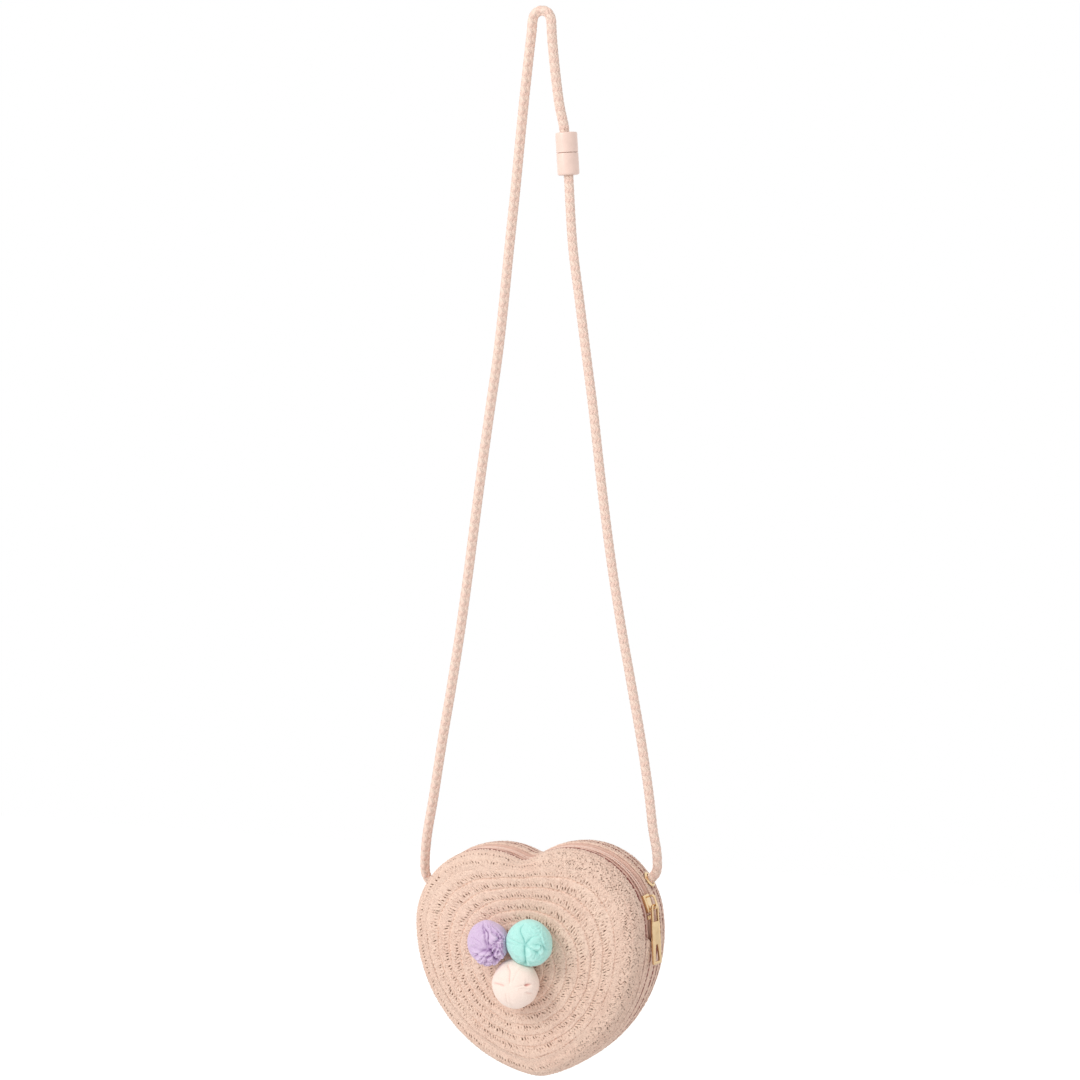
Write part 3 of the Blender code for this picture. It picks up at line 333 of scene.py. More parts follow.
def mesh_from_arrays(name, points, quads, uv=None, **values):
    """A smooth mesh of these points and quads, with a UV map and point values such as hollow.

    Points in one place, as where a ring is drawn together to a point, become one, and a quad that loses a
    corner by it becomes a triangle.
    """
    points = np.asarray(points, float).reshape(-1, 3)
    places = np.round(points * MERGE_STEPS).astype(np.int64)
    _, kept, merged = np.unique(places, axis=0, return_index=True, return_inverse=True)
    corners = merged.reshape(-1)[quads]
    own = corners != np.roll(corners, -1, axis=1)
    own &= own.sum(1, keepdims=True) > 2
    sizes = own.sum(1)
    sizes = sizes[sizes > 0]
    starts = np.concatenate([[0], np.cumsum(sizes)[:-1]])
    mesh = bpy.data.meshes.new(name)
    mesh.vertices.add(len(kept))
    mesh.vertices.foreach_set("co", points[kept].astype(np.float32).ravel())
    mesh.loops.add(int(sizes.sum()))
    mesh.loops.foreach_set("vertex_index", corners[own].astype(np.int32))
    mesh.polygons.add(len(sizes))
    mesh.polygons.foreach_set("loop_start", starts.astype(np.int32))
    mesh.update(calc_edges=True)
    mesh.shade_smooth()
    if uv is not None:
        layer = mesh.uv_layers.new(name="along_across")
        flat = np.asarray(uv, np.float32).reshape(-1, 2)
        layer.data.foreach_set("uv", flat[quads[own]].ravel())
    for key, value in values.items():
        attribute = mesh.attributes.new(key, "FLOAT", "POINT")
        attribute.data.foreach_set("value", np.asarray(value, np.float32).ravel()[kept])
    return mesh


def capped(rings):
    """Arrays of rings of points with one more at each end, drawn together to a point that closes it."""
    made = {}
    for key, value in rings.items():
        first, last = value[:1], value[-1:]
        if key == "points":
            first, last = (0 * end + end.mean(1, keepdims=True) for end in (first, last))
        made[key] = np.concatenate([first, value, last])
    return made


def joined(parts):
    """Points, quads, uv and point values of several grids as one, with the quads renumbered."""
    base, quads = 0, []
    for part in parts:
        quads.append(part["quads"] + base)
        base += part["points"].reshape(-1, 3).shape[0]
    points = np.concatenate([part["points"].reshape(-1, 3) for part in parts])
    made = {"points": points, "quads": np.vstack(quads)}
    for key in parts[0]:
        if key == "uv":
            made["uv"] = np.concatenate([part["uv"].reshape(-1, 2) for part in parts])
        elif key not in ("points", "quads"):
            made[key] = np.concatenate([np.asarray(part[key]).ravel() for part in parts])
    return made


def add_piece(name, mesh, finish, body, slot, *nodes):
    """Puts a finished mesh into the scene on its CAD body, in the place of these nodes."""
    piece = bpy.data.objects.new(name, mesh)
    bpy.context.scene.collection.objects.link(piece)
    mesh.materials.append(finish)
    if body:
        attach(piece, body)
    if nodes:
        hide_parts(*nodes)
    return piece


def turned(profile, frame_matrix, steps):
    """Points and quads of a closed profile of radius and height, turned about z and put in its frame."""
    profile = np.asarray(profile, float)
    angle = math.tau * np.arange(steps) / steps
    radius, height = profile[:, 0][:, None], profile[:, 1][:, None]
    local = stacked(radius * np.cos(angle), radius * np.sin(angle), height, 1.0)
    points = (local @ frame_matrix.T)[..., :3]
    return {"points": points, "quads": grid_quads(len(profile), steps, True, True)}


def rounded_profile(corners, radii, steps):
    """A closed profile whose corners are rounded: each arc is a quadratic blend of a corner and its two ends.

    An arc ends at its radius from the corner, or just short of half way to the next corner.
    """
    corners = np.asarray(corners, float)
    reach = np.asarray(radii, float)[:, None]

    def arc_end(neighbours):
        side = neighbours - corners
        return corners + unit(side) * np.minimum(reach, np.linalg.norm(side, axis=1)[:, None] * 0.48)

    back, ahead = arc_end(np.roll(corners, 1, axis=0)), arc_end(np.roll(corners, -1, axis=0))
    share = np.linspace(0, 1, steps)[None, :, None]
    middle = corners[:, None] * 2 * share * (1 - share)
    return (back[:, None] * (1 - share) ** 2 + middle + ahead[:, None] * share**2).reshape(-1, 2)


# Heart outline and section


def circle_round_both(first, first_radius, second, second_radius, radius):
    """Centre of the circle of this radius that holds two smaller circles and touches both."""
    to_second = second - first
    between = np.linalg.norm(to_second)
    reach_first, reach_second = radius - first_radius, radius - second_radius
    along = (reach_first**2 - reach_second**2 + between**2) / (2 * between)
    aside = math.sqrt(reach_first**2 - along**2)
    ahead = to_second / between
    return first + ahead * along + np.array([ahead[1], -ahead[0]]) * aside


def lobe_centre():
    """Centre of the right lobe's arc, as x and z."""
    return np.array([BAG_WIDTH / 2 - LOBE_RADIUS, CENTRE_BELOW_TOP - LOBE_RADIUS])


def heart_arcs():
    """Right half of the outline from the tip to the cleft: centre, radius, first and last angle, turn."""
    lobe = lobe_centre()
    tip = np.array([0.0, CENTRE_BELOW_TOP - BAG_HEIGHT + TIP_RADIUS])
    cleft = np.array([0.0, lobe[1] + math.sqrt((LOBE_RADIUS + CLEFT_RADIUS) ** 2 - lobe[0] ** 2)])
    flank = circle_round_both(lobe, LOBE_RADIUS, tip, TIP_RADIUS, FLANK_RADIUS)
    tip_to_flank = math.atan2(*(tip - flank)[::-1])
    flank_to_lobe = math.atan2(*(lobe - flank)[::-1])
    lobe_to_cleft = math.atan2(*(cleft - lobe)[::-1])
    return (
        (tip, TIP_RADIUS, -math.pi / 2, tip_to_flank, 1),
        (flank, FLANK_RADIUS, tip_to_flank, flank_to_lobe, 1),
        (lobe, LOBE_RADIUS, flank_to_lobe, lobe_to_cleft, 1),
        (cleft, CLEFT_RADIUS, lobe_to_cleft - math.pi, -math.pi / 2, -1),
    )


HEART_ARCS = heart_arcs()
ARC_LENGTHS = [radius * abs(last - first) for _, radius, first, last, _ in HEART_ARCS]
HALF_OUTLINE = sum(ARC_LENGTHS)
LOBE_START = ARC_LENGTHS[0] + ARC_LENGTHS[1]
ZIP_END = LOBE_START + LOBE_RADIUS * ZIP_END_ANGLE


def outline_at(runs):
    """Points and outward normals of the outline, as x and z, at these lengths from the tip.

    Each arc is centre + radius (cos, sin) of an angle that grows evenly with the length, and the left half
    mirrors the right one. Runs past the whole outline start again at the tip.
    """
    runs = np.mod(np.asarray(runs, float), 2 * HALF_OUTLINE)
    side = np.where(runs <= HALF_OUTLINE, 1.0, -1.0)
    runs = np.where(runs <= HALF_OUTLINE, runs, 2 * HALF_OUTLINE - runs)
    points = np.zeros((*runs.shape, 2))
    normals = np.zeros((*runs.shape, 2))
    start = 0.0
    for (centre, radius, first, last, turn), length in zip(HEART_ARCS, ARC_LENGTHS):
        inside = runs >= start
        angle = first + (last - first) * np.clip((runs - start) / length, 0, 1)
        ray = stacked(np.cos(angle), np.sin(angle))
        points[inside] = (centre + radius * ray)[inside]
        normals[inside] = (turn * ray)[inside]
        start += length
    points[..., 0] *= side
    normals[..., 0] *= side
    return points, normals


def rim_profile():
    """Table of the rounded rim from its middle, y = 0, to the face: length, y, inset and two normal shares.

    The rim is the superellipse (y / h)^3 + (1 - inset / R)^3 = 1 between the side and the face.
    """
    half = BAG_DEPTH / 2
    angle = np.linspace(0, math.pi / 2, 2001)
    y = half * np.sin(angle) ** (2 / RIM_POWER)
    inset = RIM_INSET * (1 - np.clip(np.cos(angle), 0, 1) ** (2 / RIM_POWER))
    order = np.argsort(y)
    length = np.concatenate([[0], np.cumsum(np.hypot(np.diff(y), np.diff(inset)))])
    out = (1 - inset / RIM_INSET) ** (RIM_POWER - 1) / RIM_INSET
    ahead = (y / half) ** (RIM_POWER - 1) / half
    size = np.hypot(out, ahead)
    return length, y[order], inset, out / size, ahead / size


RIM_LENGTHS, RIM_YS, RIM_INSETS, RIM_OUTS, RIM_AHEADS = rim_profile()


def rim_length_at(y):
    """Signed length along the rim from y = 0 to this y."""
    return np.sign(y) * np.interp(np.abs(y), RIM_YS, RIM_LENGTHS)


def on_rim(runs, lengths, height):
    """Bag points at these lengths along the outline and across the rim, this high above the straw's surface.

    Past the rim's own length they go on across the flat face.
    """
    runs, lengths = np.broadcast_arrays(runs, lengths)
    points, normals = outline_at(runs)
    reach = np.abs(lengths)
    side = np.sign(lengths)
    y = np.interp(reach, RIM_LENGTHS, RIM_YS)
    inset = np.interp(reach, RIM_LENGTHS, RIM_INSETS)
    out = np.interp(reach, RIM_LENGTHS, RIM_OUTS)
    ahead = np.interp(reach, RIM_LENGTHS, RIM_AHEADS)
    inset = inset + np.maximum(0, reach - RIM_LENGTHS[-1])
    flat = points - normals * (inset - out * height)[..., None]
    return stacked(flat[..., 0], side * (y + ahead * height), flat[..., 1])


def mouth_half(runs, narrow, wide):
    """Half the gap between the two halves of the body: narrow along the seam, wide along the zip."""
    runs = np.mod(runs, 2 * HALF_OUTLINE)
    runs = np.where(runs <= HALF_OUTLINE, runs, 2 * HALF_OUTLINE - runs)
    return narrow + (wide - narrow) * smoothstep(ZIP_END - ZIP_END_TAPER, ZIP_END, runs)


# Straw braid


ROW_CENTRE = np.array([-0.003, -0.015])
ROW_HARMONICS = 36
ROW_ROUNDING = 0.6
CLEFT_LINE = CENTRE_BELOW_TOP - RIM_INSET
CLEFT_DIP_SHARE = 0.2


def face_edge(runs):
    """How far in from the outline the face rows end: the rim's inset, but less where they cross the cleft."""
    points, normals = outline_at(runs)
    over_lobes = np.abs(points[..., 0]) < lobe_centre()[0]
    on_top = over_lobes & (points[..., 1] > 0)
    flat = (points[..., 1] - CLEFT_LINE) / np.where(on_top, normals[..., 1], 1)
    return np.where(on_top, flat + (RIM_INSET - flat) * CLEFT_DIP_SHARE, RIM_INSET)


def face_harmonics():
    """Harmonics of the face's edge as a distance from the middle of the rows, by the angle round it."""
    runs = np.linspace(0, 2 * HALF_OUTLINE, 4000, endpoint=False)
    points, normals = outline_at(runs)
    edge = points - normals * face_edge(runs)[:, None] - ROW_CENTRE
    turns = np.arctan2(edge[:, 1], edge[:, 0])
    even = math.tau * np.arange(1024) / 1024
    reach = np.interp(even, turns, np.hypot(edge[:, 0], edge[:, 1]), period=math.tau)
    return np.fft.rfft(reach)[: ROW_HARMONICS + 1] / len(even)


FACE_HARMONICS = face_harmonics()


def inset_at(x, z):
    """Distance of a place on the face from the outline: the least to any arc that it lies square to."""
    least = np.full(np.shape(x), 1.0)
    for centre, radius, first, last, _ in HEART_ARCS:
        aside, up = np.abs(x) - centre[0], z - centre[1]
        angle = np.mod(np.arctan2(up, aside) - min(first, last), math.tau)
        gap = np.abs(radius - np.hypot(aside, up))
        least = np.where(angle <= abs(last - first), np.minimum(least, gap), least)
    return least


def on_face(size, turns, height, side, crown):
    """Bag points on the front (side -1) or back (side 1), at this share of the way from middle to edge.

    Distance = size * sum of c_n size^(rounding n) e^(i n turn), so the rows grow rounder towards the
    middle, and y = rim height at the place's own inset + crown (1 - size^2) + height.
    """
    size, turns = np.broadcast_arrays(np.maximum(size, 0), turns)
    reach = np.full(size.shape, FACE_HARMONICS[0].real)
    for order in range(1, ROW_HARMONICS + 1):
        term = 2 * FACE_HARMONICS[order] * np.exp(1j * order * turns)
        reach = reach + term.real * size ** (ROW_ROUNDING * order)
    reach = reach * size
    x, z = ROW_CENTRE[0] + reach * np.cos(turns), ROW_CENTRE[1] + reach * np.sin(turns)
    outer = 1 - np.clip(inset_at(x, z) / RIM_INSET, 0, 1)
    y = BAG_DEPTH / 2 * (1 - outer**RIM_POWER) ** (1 / RIM_POWER) + crown * (1 - size**2)
    return stacked(x, side * (y + height), z)


# Section of a face row from its outer edge, 0, to its inner edge, 1: place across and height in millimetres
ROW_SECTION = (
    (-0.035, -1.5), (-0.005, -0.35), (0.03, -0.02), (0.09, 0.11), (0.17, 0.17), (0.24, 0.15),
    (0.31, 0.12), (0.38, 0.08), (0.44, 0.04), (0.50, 0.0), (0.56, -0.03), (0.62, -0.06), (0.68, -0.09),
    (0.74, -0.12), (0.80, -0.16), (0.86, -0.21), (0.93, -0.30), (1.0, -0.55), (1.05, -1.2),
)
# The same for a row of the rim or the side, and the plain underside of both
RIM_SECTION = (
    (-0.11, -0.2), (-0.055, 0.08), (0.02, 0.11), (0.12, 0.0), (0.19, 0.02), (0.26, 0.03), (0.33, 0.03),
    (0.40, 0.02), (0.47, 0.01), (0.54, 0.0), (0.61, -0.01), (0.68, -0.02), (0.75, -0.03), (0.82, -0.05),
    (0.89, -0.07), (0.95, -0.12), (1.0, -0.2), (1.06, -0.8),
)
ROW_UNDER = ((1.0, -2.4), (0.5, -2.4), (0.02, -2.4))
FACE_TURNS = 8.6
# Distance along a row from one ring of points to the next, on the back and on the front
COLUMN = 0.00044
FINE_COLUMN = 0.00033


# A line of slits along a row. middle, half_length: where across the row it stands and how far it reaches.
# slant: how far a slit leans along the row. pitch: from slit to slit, in loops. width: share of the pitch.
# uneven, stray: how much the slits differ in depth, and in place across the row.
SlitLine = namedtuple("SlitLine", "middle half_length slant pitch width uneven stray")
FACE_SLITS = (
    SlitLine(0.72, 0.115, 0.50, 1.0, 0.20, 0.8, 0.075),
    SlitLine(0.50, 0.09, 0.35, 0.9, 0.17, 1.0, 0.10),
    SlitLine(0.24, 0.07, -0.80, 0.8, 0.16, 1.0, 0.12),
    SlitLine(0.93, 0.06, -0.50, 0.9, 0.22, 1.0, 0.02),
)
RIM_SLITS = SlitLine(0.64, 0.13, 0.45, 1.0, 0.21, 0.8, 0.08)
# Lines of curls on the rim and the side, each with its depth
RIM_CURLS = (
    (SlitLine(0.08, 0.10, 0.90, 0.75, 0.2, 1.0, 0.09), 0.80),
    (SlitLine(0.30, 0.10, -0.80, 0.90, 0.2, 1.0, 0.09), 0.95),
    (SlitLine(0.53, 0.10, 1.00, 0.80, 0.2, 1.0, 0.09), 0.90),
    (SlitLine(0.78, 0.10, -0.90, 0.85, 0.2, 1.0, 0.09), 1.00),
)
# Where across a side row its seam shows, in front of the zip and behind it
FRONT_SEAM_AT = 0.86
BACK_SEAM_AT = 0.13
GUSSET_SHORT_OF_ZIP = 0.0015


def dashes(along, across, straw, seed, line):
    """Slits side by side along a row: how deep a place is in one, and how high on a loop between two.

    Slit k stands at (k + 1/2 + jitter) * pitch with its own slant, length and depth. Its depth is
    exp(-(aside / width)^2) * exp(-((across - middle) / half length)^4), and a loop's height is
    cos^2 of the way from one slit to the next within the same window.
    """
    whole = along.max() + along[1, 0] - along[0, 0]
    count = max(4, round(whole / (straw.loop_length * line.pitch)))
    step = whole / count
    rng = np.random.default_rng(seed)
    jitter, lean, shift, power, size = rng.uniform(-1, 1, (5, count))
    nearest = np.floor(along / step).astype(int)
    deep, loop = np.zeros_like(along * across), np.zeros_like(along * across)
    for neighbour in (-1, 0, 1):
        pick = (nearest + neighbour) % count
        off = across - line.middle - line.stray * shift[pick]
        spot = (nearest + neighbour + 0.5 + 0.16 * jitter[pick]) * step
        aside = along - spot - (line.slant + 0.32 * lean[pick]) * off * straw.row_width
        window = np.exp(-((off / (line.half_length * (1 + 0.25 * size[pick]))) ** 4))
        depth = 1 - line.uneven * (0.5 - 0.5 * power[pick])
        deep = np.maximum(deep, window * depth * np.exp(-((aside / (line.width * step)) ** 2)))
        away = np.clip((aside - 0.5 * step) / (0.5 * step), -1, 1)
        loop = np.maximum(loop, window * np.cos(away * math.pi / 2) ** 2 * (0.7 + 0.3 * size[pick]))
    return deep, loop


def face_relief(along, across, straw, seed, curl):
    """Height and hollowness of a face row: a smooth band, then slits and loops, finer where curl is 1."""
    ripple = 0.035 * np.sin(math.tau * along / (straw.loop_length * 1.3)) + 0.03 * np.sin(along * 311 + seed)
    base = np.interp(across + ripple * np.exp(-((across / 0.2) ** 2)), *np.transpose(ROW_SECTION)) * MM
    (slit, loop), (dot, knob), (tiny, pip), (edge, bead) = (
        dashes(along, across, straw, seed + shift, line) for shift, line in zip((0, 1, 2, 4), FACE_SLITS)
    )
    deep = slit * (1 - 0.15 * curl) + (0.60 + 0.30 * curl) * dot + (0.24 + 0.50 * curl) * tiny
    deep = np.clip(deep + (0.35 + 0.45 * curl) * edge, 0, 1)
    high = loop + 0.8 * knob + (0.5 + 0.3 * curl) * pip + 0.5 * bead
    height = base + (high - 0.25) * straw.loop_height - deep * straw.slit_depth
    return height, deep, 0 * deep, high


def rim_relief(along, across, straw, seed, curl):
    """Height and hollowness of a row round the rim: small curls, and plainer slits where curl is 0."""
    base = np.interp(across, *np.transpose(RIM_SECTION)) * MM
    slit, loop = dashes(along, across, straw, seed + 9, RIM_SLITS)
    deep, high = 0.95 * (1 - curl) * slit, (1 - curl) * loop
    for number, (line, share) in enumerate(RIM_CURLS):
        dot, knob = dashes(along, across, straw, seed + 31 * number, line)
        deep = deep + share * (0.34 + 0.76 * curl) * dot
        high = high + knob * (0.4 + 0.6 * curl)
    deep = np.clip(deep, 0, 1)
    height = base + (high - 0.4) * straw.loop_height - deep * straw.slit_depth * 0.8
    return height, deep, 0 * deep, high


def side_relief(along, across, straw, seed, curl, seam_at=FRONT_SEAM_AT):
    """Height, hollowness and seam of a row on the side: small curls, and a dashed seam of red thread and
    painted shade.
    """
    height, slit_shade, _, high = rim_relief(along, across, straw, seed, curl)
    pitch = straw.dash_length / straw.loop_length
    dash, _ = dashes(along, across, straw, seed + 5, SlitLine(seam_at, 0.13, 0.0, pitch, 0.40, 0.5, 0.01))
    seam = np.clip(dash * 2.6, 0, 1)
    groove = (0.25 + 0.65 * dash) * MM * np.exp(-(((across - seam_at) / 0.10) ** 2))
    return height - groove, slit_shade * 0.8, seam, high * (1 - seam)


def back_relief(along, across, straw, seed, curl):
    """The same for the rows behind the zip, whose seams show along their other edge."""
    return side_relief(along, across, straw, seed, curl, BACK_SEAM_AT)


def braid_row(place, along, relief, straw, seed, curl, pinch=None):
    """Rings of one braid row: its section, carried along the row by place(across, height)."""
    section = ROW_SECTION if relief is face_relief else RIM_SECTION
    across = np.array([spot for spot, _ in (*section, *ROW_UNDER)])[None, :]
    under = np.array([depth for _, depth in ROW_UNDER]) * MM
    top = len(section)
    height, slit_shade, seam, loop = relief(along[:, None], across, straw, seed, np.reshape(curl, (-1, 1)))
    height[:, top:] = under
    slit_shade[:, top:] = 0
    seam = np.array(seam)
    seam[:, top:] = 0
    if pinch is not None:
        middle = -1.2 * MM
        height = middle + (height - middle) * pinch[:, None]
    points = from_bag(place(across, height))
    uv = stacked(along[:, None], across * straw.row_width + seed * 0.05)
    tone = 0.5 + 0.5 * np.sin(along * 40 + 2 * np.sin(along * 17 + seed))
    tone = np.broadcast_to(tone[:, None], slit_shade.shape)
    return {"points": points, "uv": uv, "slit_shade": slit_shade, "seam": seam, "tone": tone, "loop": loop}


def faced(rings, closed, flipped):
    """Rings of points with their quads, closed on themselves or capped, and turned over where flipped."""
    rings = rings if closed else capped(rings)
    quads = grid_quads(*rings["points"].shape[:2], closed, True)
    return {**rings, "quads": quads[:, ::-1] if flipped else quads}


def curl_at(x):
    """How curly the straws look: plain slits on the left of the face and fine curls on its right."""
    return 0.1 + 0.9 * smoothstep(0.004, 0.05, x)


def spiral_row(side, crown, straw, seed, column):
    """The rows of a face as one long braid, wound out from the middle until it meets the rim all round.

    At wind w, from 0, the braid lies between sizes (w - 1) / turns and w / turns of the face.
    """
    def edges(wind):
        return np.clip(wind / FACE_TURNS, 0, 1), np.clip((wind - 1) / FACE_TURNS, 0, 1)

    wind = np.linspace(0.42, FACE_TURNS + 0.97, 6000)
    outer, inner = edges(wind)
    line = on_face((outer + inner) / 2, math.tau * wind * side, 0.0, side, crown)
    length = lengths_along(line)
    along = np.linspace(0, length[-1], int(length[-1] / column))
    wind = np.interp(along, length, wind)
    curl = curl_at(np.interp(along, length, line[:, 0]))
    outer, inner = (edge[:, None] for edge in edges(wind))
    pinch = smoothstep(0, 0.003, along) * smoothstep(0, 0.02, length[-1] - along)
    # The braid lies flat and plain where the last wind narrows against the rim
    whole = smoothstep(0.35, 0.85, (outer - inner) * FACE_TURNS)

    def place(across, height):
        size = outer + (inner - outer) * across
        height = np.where(height > -0.9 * MM, height * whole - 0.04 * MM * (1 - whole), height)
        return on_face(np.minimum(size, 1), math.tau * wind[:, None] * side, height, side, crown)

    row = braid_row(place, along, face_relief, straw, seed, curl, pinch)
    return {**row, "slit_shade": row["slit_shade"] * whole}


def halves(row):
    """A long row in two parts that meet at a ring of points, to keep each piece light."""
    cut = len(row["points"]) // 2
    parts = ({key: value[part] for key, value in row.items()} for part in (slice(cut + 1), slice(cut, None)))
    return [faced(part, False, False) for part in parts]


def ring_row(outer, inner, relief, straw, seed, column):
    """A closed row round the rim between two functions of the run that give signed lengths across it."""
    spots = np.linspace(0, 2 * HALF_OUTLINE, 3000)
    points, normals = outline_at(spots)
    middle = np.abs(outer(spots) + inner(spots)) / 2
    edge = points - normals * np.interp(middle, RIM_LENGTHS, RIM_INSETS)[:, None]
    length = lengths_along(edge)
    count = int(length[-1] / column)
    along = np.arange(count) / count * length[-1]
    runs = np.interp(along, length, spots)
    first, last = outer(runs)[:, None], inner(runs)[:, None]
    curl = curl_at(np.interp(along, length, edge[:, 0]))

    def place(across, height):
        return on_rim(runs[:, None], first + (last - first) * across, height)

    return faced(braid_row(place, along, relief, straw, seed, curl), True, outer(spots[:1])[0] > 0)


def gusset_row(side, straw, seed, column):
    """The row between the zip's line and the seam, from one end of the zip round the tip to the other."""
    reach = ZIP_END - GUSSET_SHORT_OF_ZIP
    along = np.linspace(0, 2 * reach, int(2 * reach / column))
    runs = along - reach
    seam = rim_length_at(ZIP_Y + side * mouth_half(runs, LAYER_GAP / 2, ZIP_MOUTH / 2))[:, None]
    mouth = rim_length_at(ZIP_Y + side * ZIP_MOUTH / 2)
    pinch = smoothstep(0, 0.004, along) * smoothstep(0, 0.004, 2 * reach - along)

    def place(across, height):
        return on_rim(runs[:, None], mouth + (seam - mouth) * across, height)

    relief = side_relief if side < 0 else back_relief
    row = braid_row(place, along, relief, straw, seed, np.ones(len(along)), pinch)
    return faced(row, False, side > 0)


def rim_edge(side, share):
    """Function of the run: the signed length across the rim at this share from the zip to the face."""
    mouth = abs(rim_length_at(ZIP_Y + side * ZIP_MOUTH / 2))

    def edge(runs):
        face = np.interp(face_edge(np.asarray(runs, float)), RIM_INSETS, RIM_LENGTHS)
        return side * (mouth + (face - mouth) * share)

    return edge


# Rope


def mixed(time, times, points, i, span):
    """Mix of points i and i + 1, by how far the time has gone from times[i] to times[i + span]."""
    return points[i] + (points[i + 1] - points[i]) * (time - times[i]) / (times[i + span] - times[i])


def smooth_route(route, spacing):
    """Points along the curve that passes evenly through the route's own points, as the model's rope does.

    Between two of them each point is a mix of its four neighbours, mixed in pairs on three levels, with times
    that grow by the square root of the distance.
    """
    knots = np.asarray(route, float)
    padded = np.vstack([2 * knots[0] - knots[1], knots, 2 * knots[-1] - knots[-2]])
    made = []
    for four in (padded[i : i + 4] for i in range(len(knots) - 1)):
        gaps = np.sqrt(np.linalg.norm(np.diff(four, axis=0), axis=1))
        times = np.concatenate([[0], np.cumsum(gaps)])
        steps = max(1, round(gaps[1] ** 2 / spacing))
        time = (times[1] + gaps[1] * np.arange(steps) / steps)[:, None]
        sides = [mixed(time, times, four, i, 1) for i in range(3)]
        pair = [mixed(time, times, sides, i, 2) for i in range(2)]
        made.append(mixed(time, times[1:], pair, 0, 1))
    return np.vstack([*made, knots[-1:]])


def even_points(points, spacing, eased):
    """The line with its points an even distance apart, then eased towards their neighbours so many times."""
    length = lengths_along(points)
    along = np.linspace(0, length[-1], max(2, round(length[-1] / spacing) + 1))
    line = np.stack([np.interp(along, length, points[:, axis]) for axis in range(3)], axis=1)
    for _ in range(eased):
        line[1:-1] = 0.25 * (line[:-2] + line[2:]) + 0.5 * line[1:-1]
    return line, along


def line_frames(points):
    """Two directions across a line at each of its points, that don't twist along it.

    Each step turns the pair by reflecting it twice, once in the step and once in the change of direction.
    """
    ahead = unit(np.gradient(points, axis=0))
    first = np.zeros_like(points)
    first[0] = unit(np.cross(ahead[0], [0.3, 1.0, 0.2]))
    for i in range(len(points) - 1):
        step = points[i + 1] - points[i]
        mirrored = first[i] - 2 * step * (step @ first[i]) / (step @ step)
        turned_ahead = ahead[i] - 2 * step * (step @ ahead[i]) / (step @ step)
        change = ahead[i + 1] - turned_ahead
        first[i + 1] = mirrored - 2 * change * (change @ mirrored) / max(change @ change, 1e-20)
    first = unit(first - ahead * (first * ahead).sum(1)[:, None])
    return ahead, first, np.cross(ahead, first)


def tube(line, radius, around):
    """A round tube of this radius along a line, with so many points around."""
    _, first, second = line_frames(line)
    angle = (math.tau * np.arange(around) / around)[None, :]
    ring = first[:, None] * np.cos(angle)[..., None] + second[:, None] * np.sin(angle)[..., None]
    points = line[:, None] + ring * radius
    length = lengths_along(line)
    uv = stacked(length[:, None], angle / math.tau)
    return faced({"points": points, "uv": uv}, False, False)


def braided_rope(route, strap):
    """Eight strands plaited round a line: four wind each way and pass over and under each other in turn.

    At length s a strand stands at angle +-2 pi s / turn + its own quarter, and at a distance
    r = middle +- weave cos(4 angle), its section flattened to an oval that lies along the rope's surface.
    """
    line, along = even_points(route, strap.ring_spacing, 14)
    ahead, first, second = line_frames(line)
    wind = math.tau * along / strap.strand_turn
    thick, wide = strap.strand_height / 2, strap.strand_width / 2
    weave = strap.strand_weave
    middle = ROPE_DIAMETER / 2 - thick - weave
    section = math.tau * np.arange(STRAND_POINTS) / STRAND_POINTS
    parts = []
    for strand in range(STRANDS):
        way = 1 if strand < STRANDS / 2 else -1
        angle = way * wind + math.tau * strand / 4 + (0 if way > 0 else math.pi / 4)
        reach = middle + way * weave * np.cos(4 * wind)
        out = first * np.cos(angle)[:, None] + second * np.sin(angle)[:, None]
        aside = np.cross(ahead, out)
        pace = math.tau * reach / strap.strand_turn
        lean = unit(aside * way * pace[:, None] + ahead)
        flat = np.cross(out, lean)
        centre = line + out * reach[:, None]
        oval_out = np.cos(section) * thick
        oval_out = np.where(oval_out < 0, oval_out * 0.35, oval_out)
        oval_flat = np.sin(section) * wide
        ring = out[:, None] * oval_out[None, :, None] + flat[:, None] * oval_flat[None, :, None]
        points = centre[:, None] + ring
        uv = stacked(along[:, None] + strand * 0.11, section[None, :] / math.tau)
        shade = np.full(points.shape[:2], 1.0 if way > 0 else 0.0)
        parts.append(faced({"points": points, "uv": uv, "shade": shade}, False, True))
    return joined(parts), line, along[-1]


def place_frame(origin, out):
    """4 by 4 matrix of a frame whose z points out."""
    turn = Vector((0, 0, 1)).rotation_difference(Vector(out)).to_matrix()
    made = np.eye(4)
    made[:3, :3] = np.array(turn)
    made[:3, 3] = origin
    return made


def eyelet_frame(side):
    """Frame on the outside of the straw at an eyelet, its z pointing out square to the surface."""
    run = LOBE_START + LOBE_RADIUS * (RIGHT_EYELET_ANGLE if side > 0 else LEFT_EYELET_ANGLE)
    run = run if side > 0 else 2 * HALF_OUTLINE - run
    length = rim_length_at(EYELET_Y)
    spot, deep = (from_bag(on_rim(run, length, height)) for height in (0.0, -STRAW_WALL))
    return place_frame(spot, unit(spot - deep))


def clasp_frame():
    """Frame at the parting line of the clasp, its z up along the rope."""
    lift = (CLASP_UPPER + CLASP_LOWER) / 2 - CLASP_UPPER
    up = np.array([-math.sin(CLASP_TILT), 0, math.cos(CLASP_TILT)])
    made = np.eye(4)
    made[:3, 0] = (math.cos(CLASP_TILT), 0, math.sin(CLASP_TILT))
    made[:3, 2] = up
    made[:3, 3] = CLASP_CENTRE + up * lift
    return made


def through_eyelet(side, bend):
    """Centre line from the knot inside the bag, out through the eyelet and round towards the strap."""
    frame_matrix = eyelet_frame(side)
    out, spot = frame_matrix[:3, 2], frame_matrix[:3, 3]
    straight = [spot - out * ROPE_INSIDE, spot]
    return straight + [spot + out * lift + np.array([0, dy, dz]) for lift, dy, dz in bend]


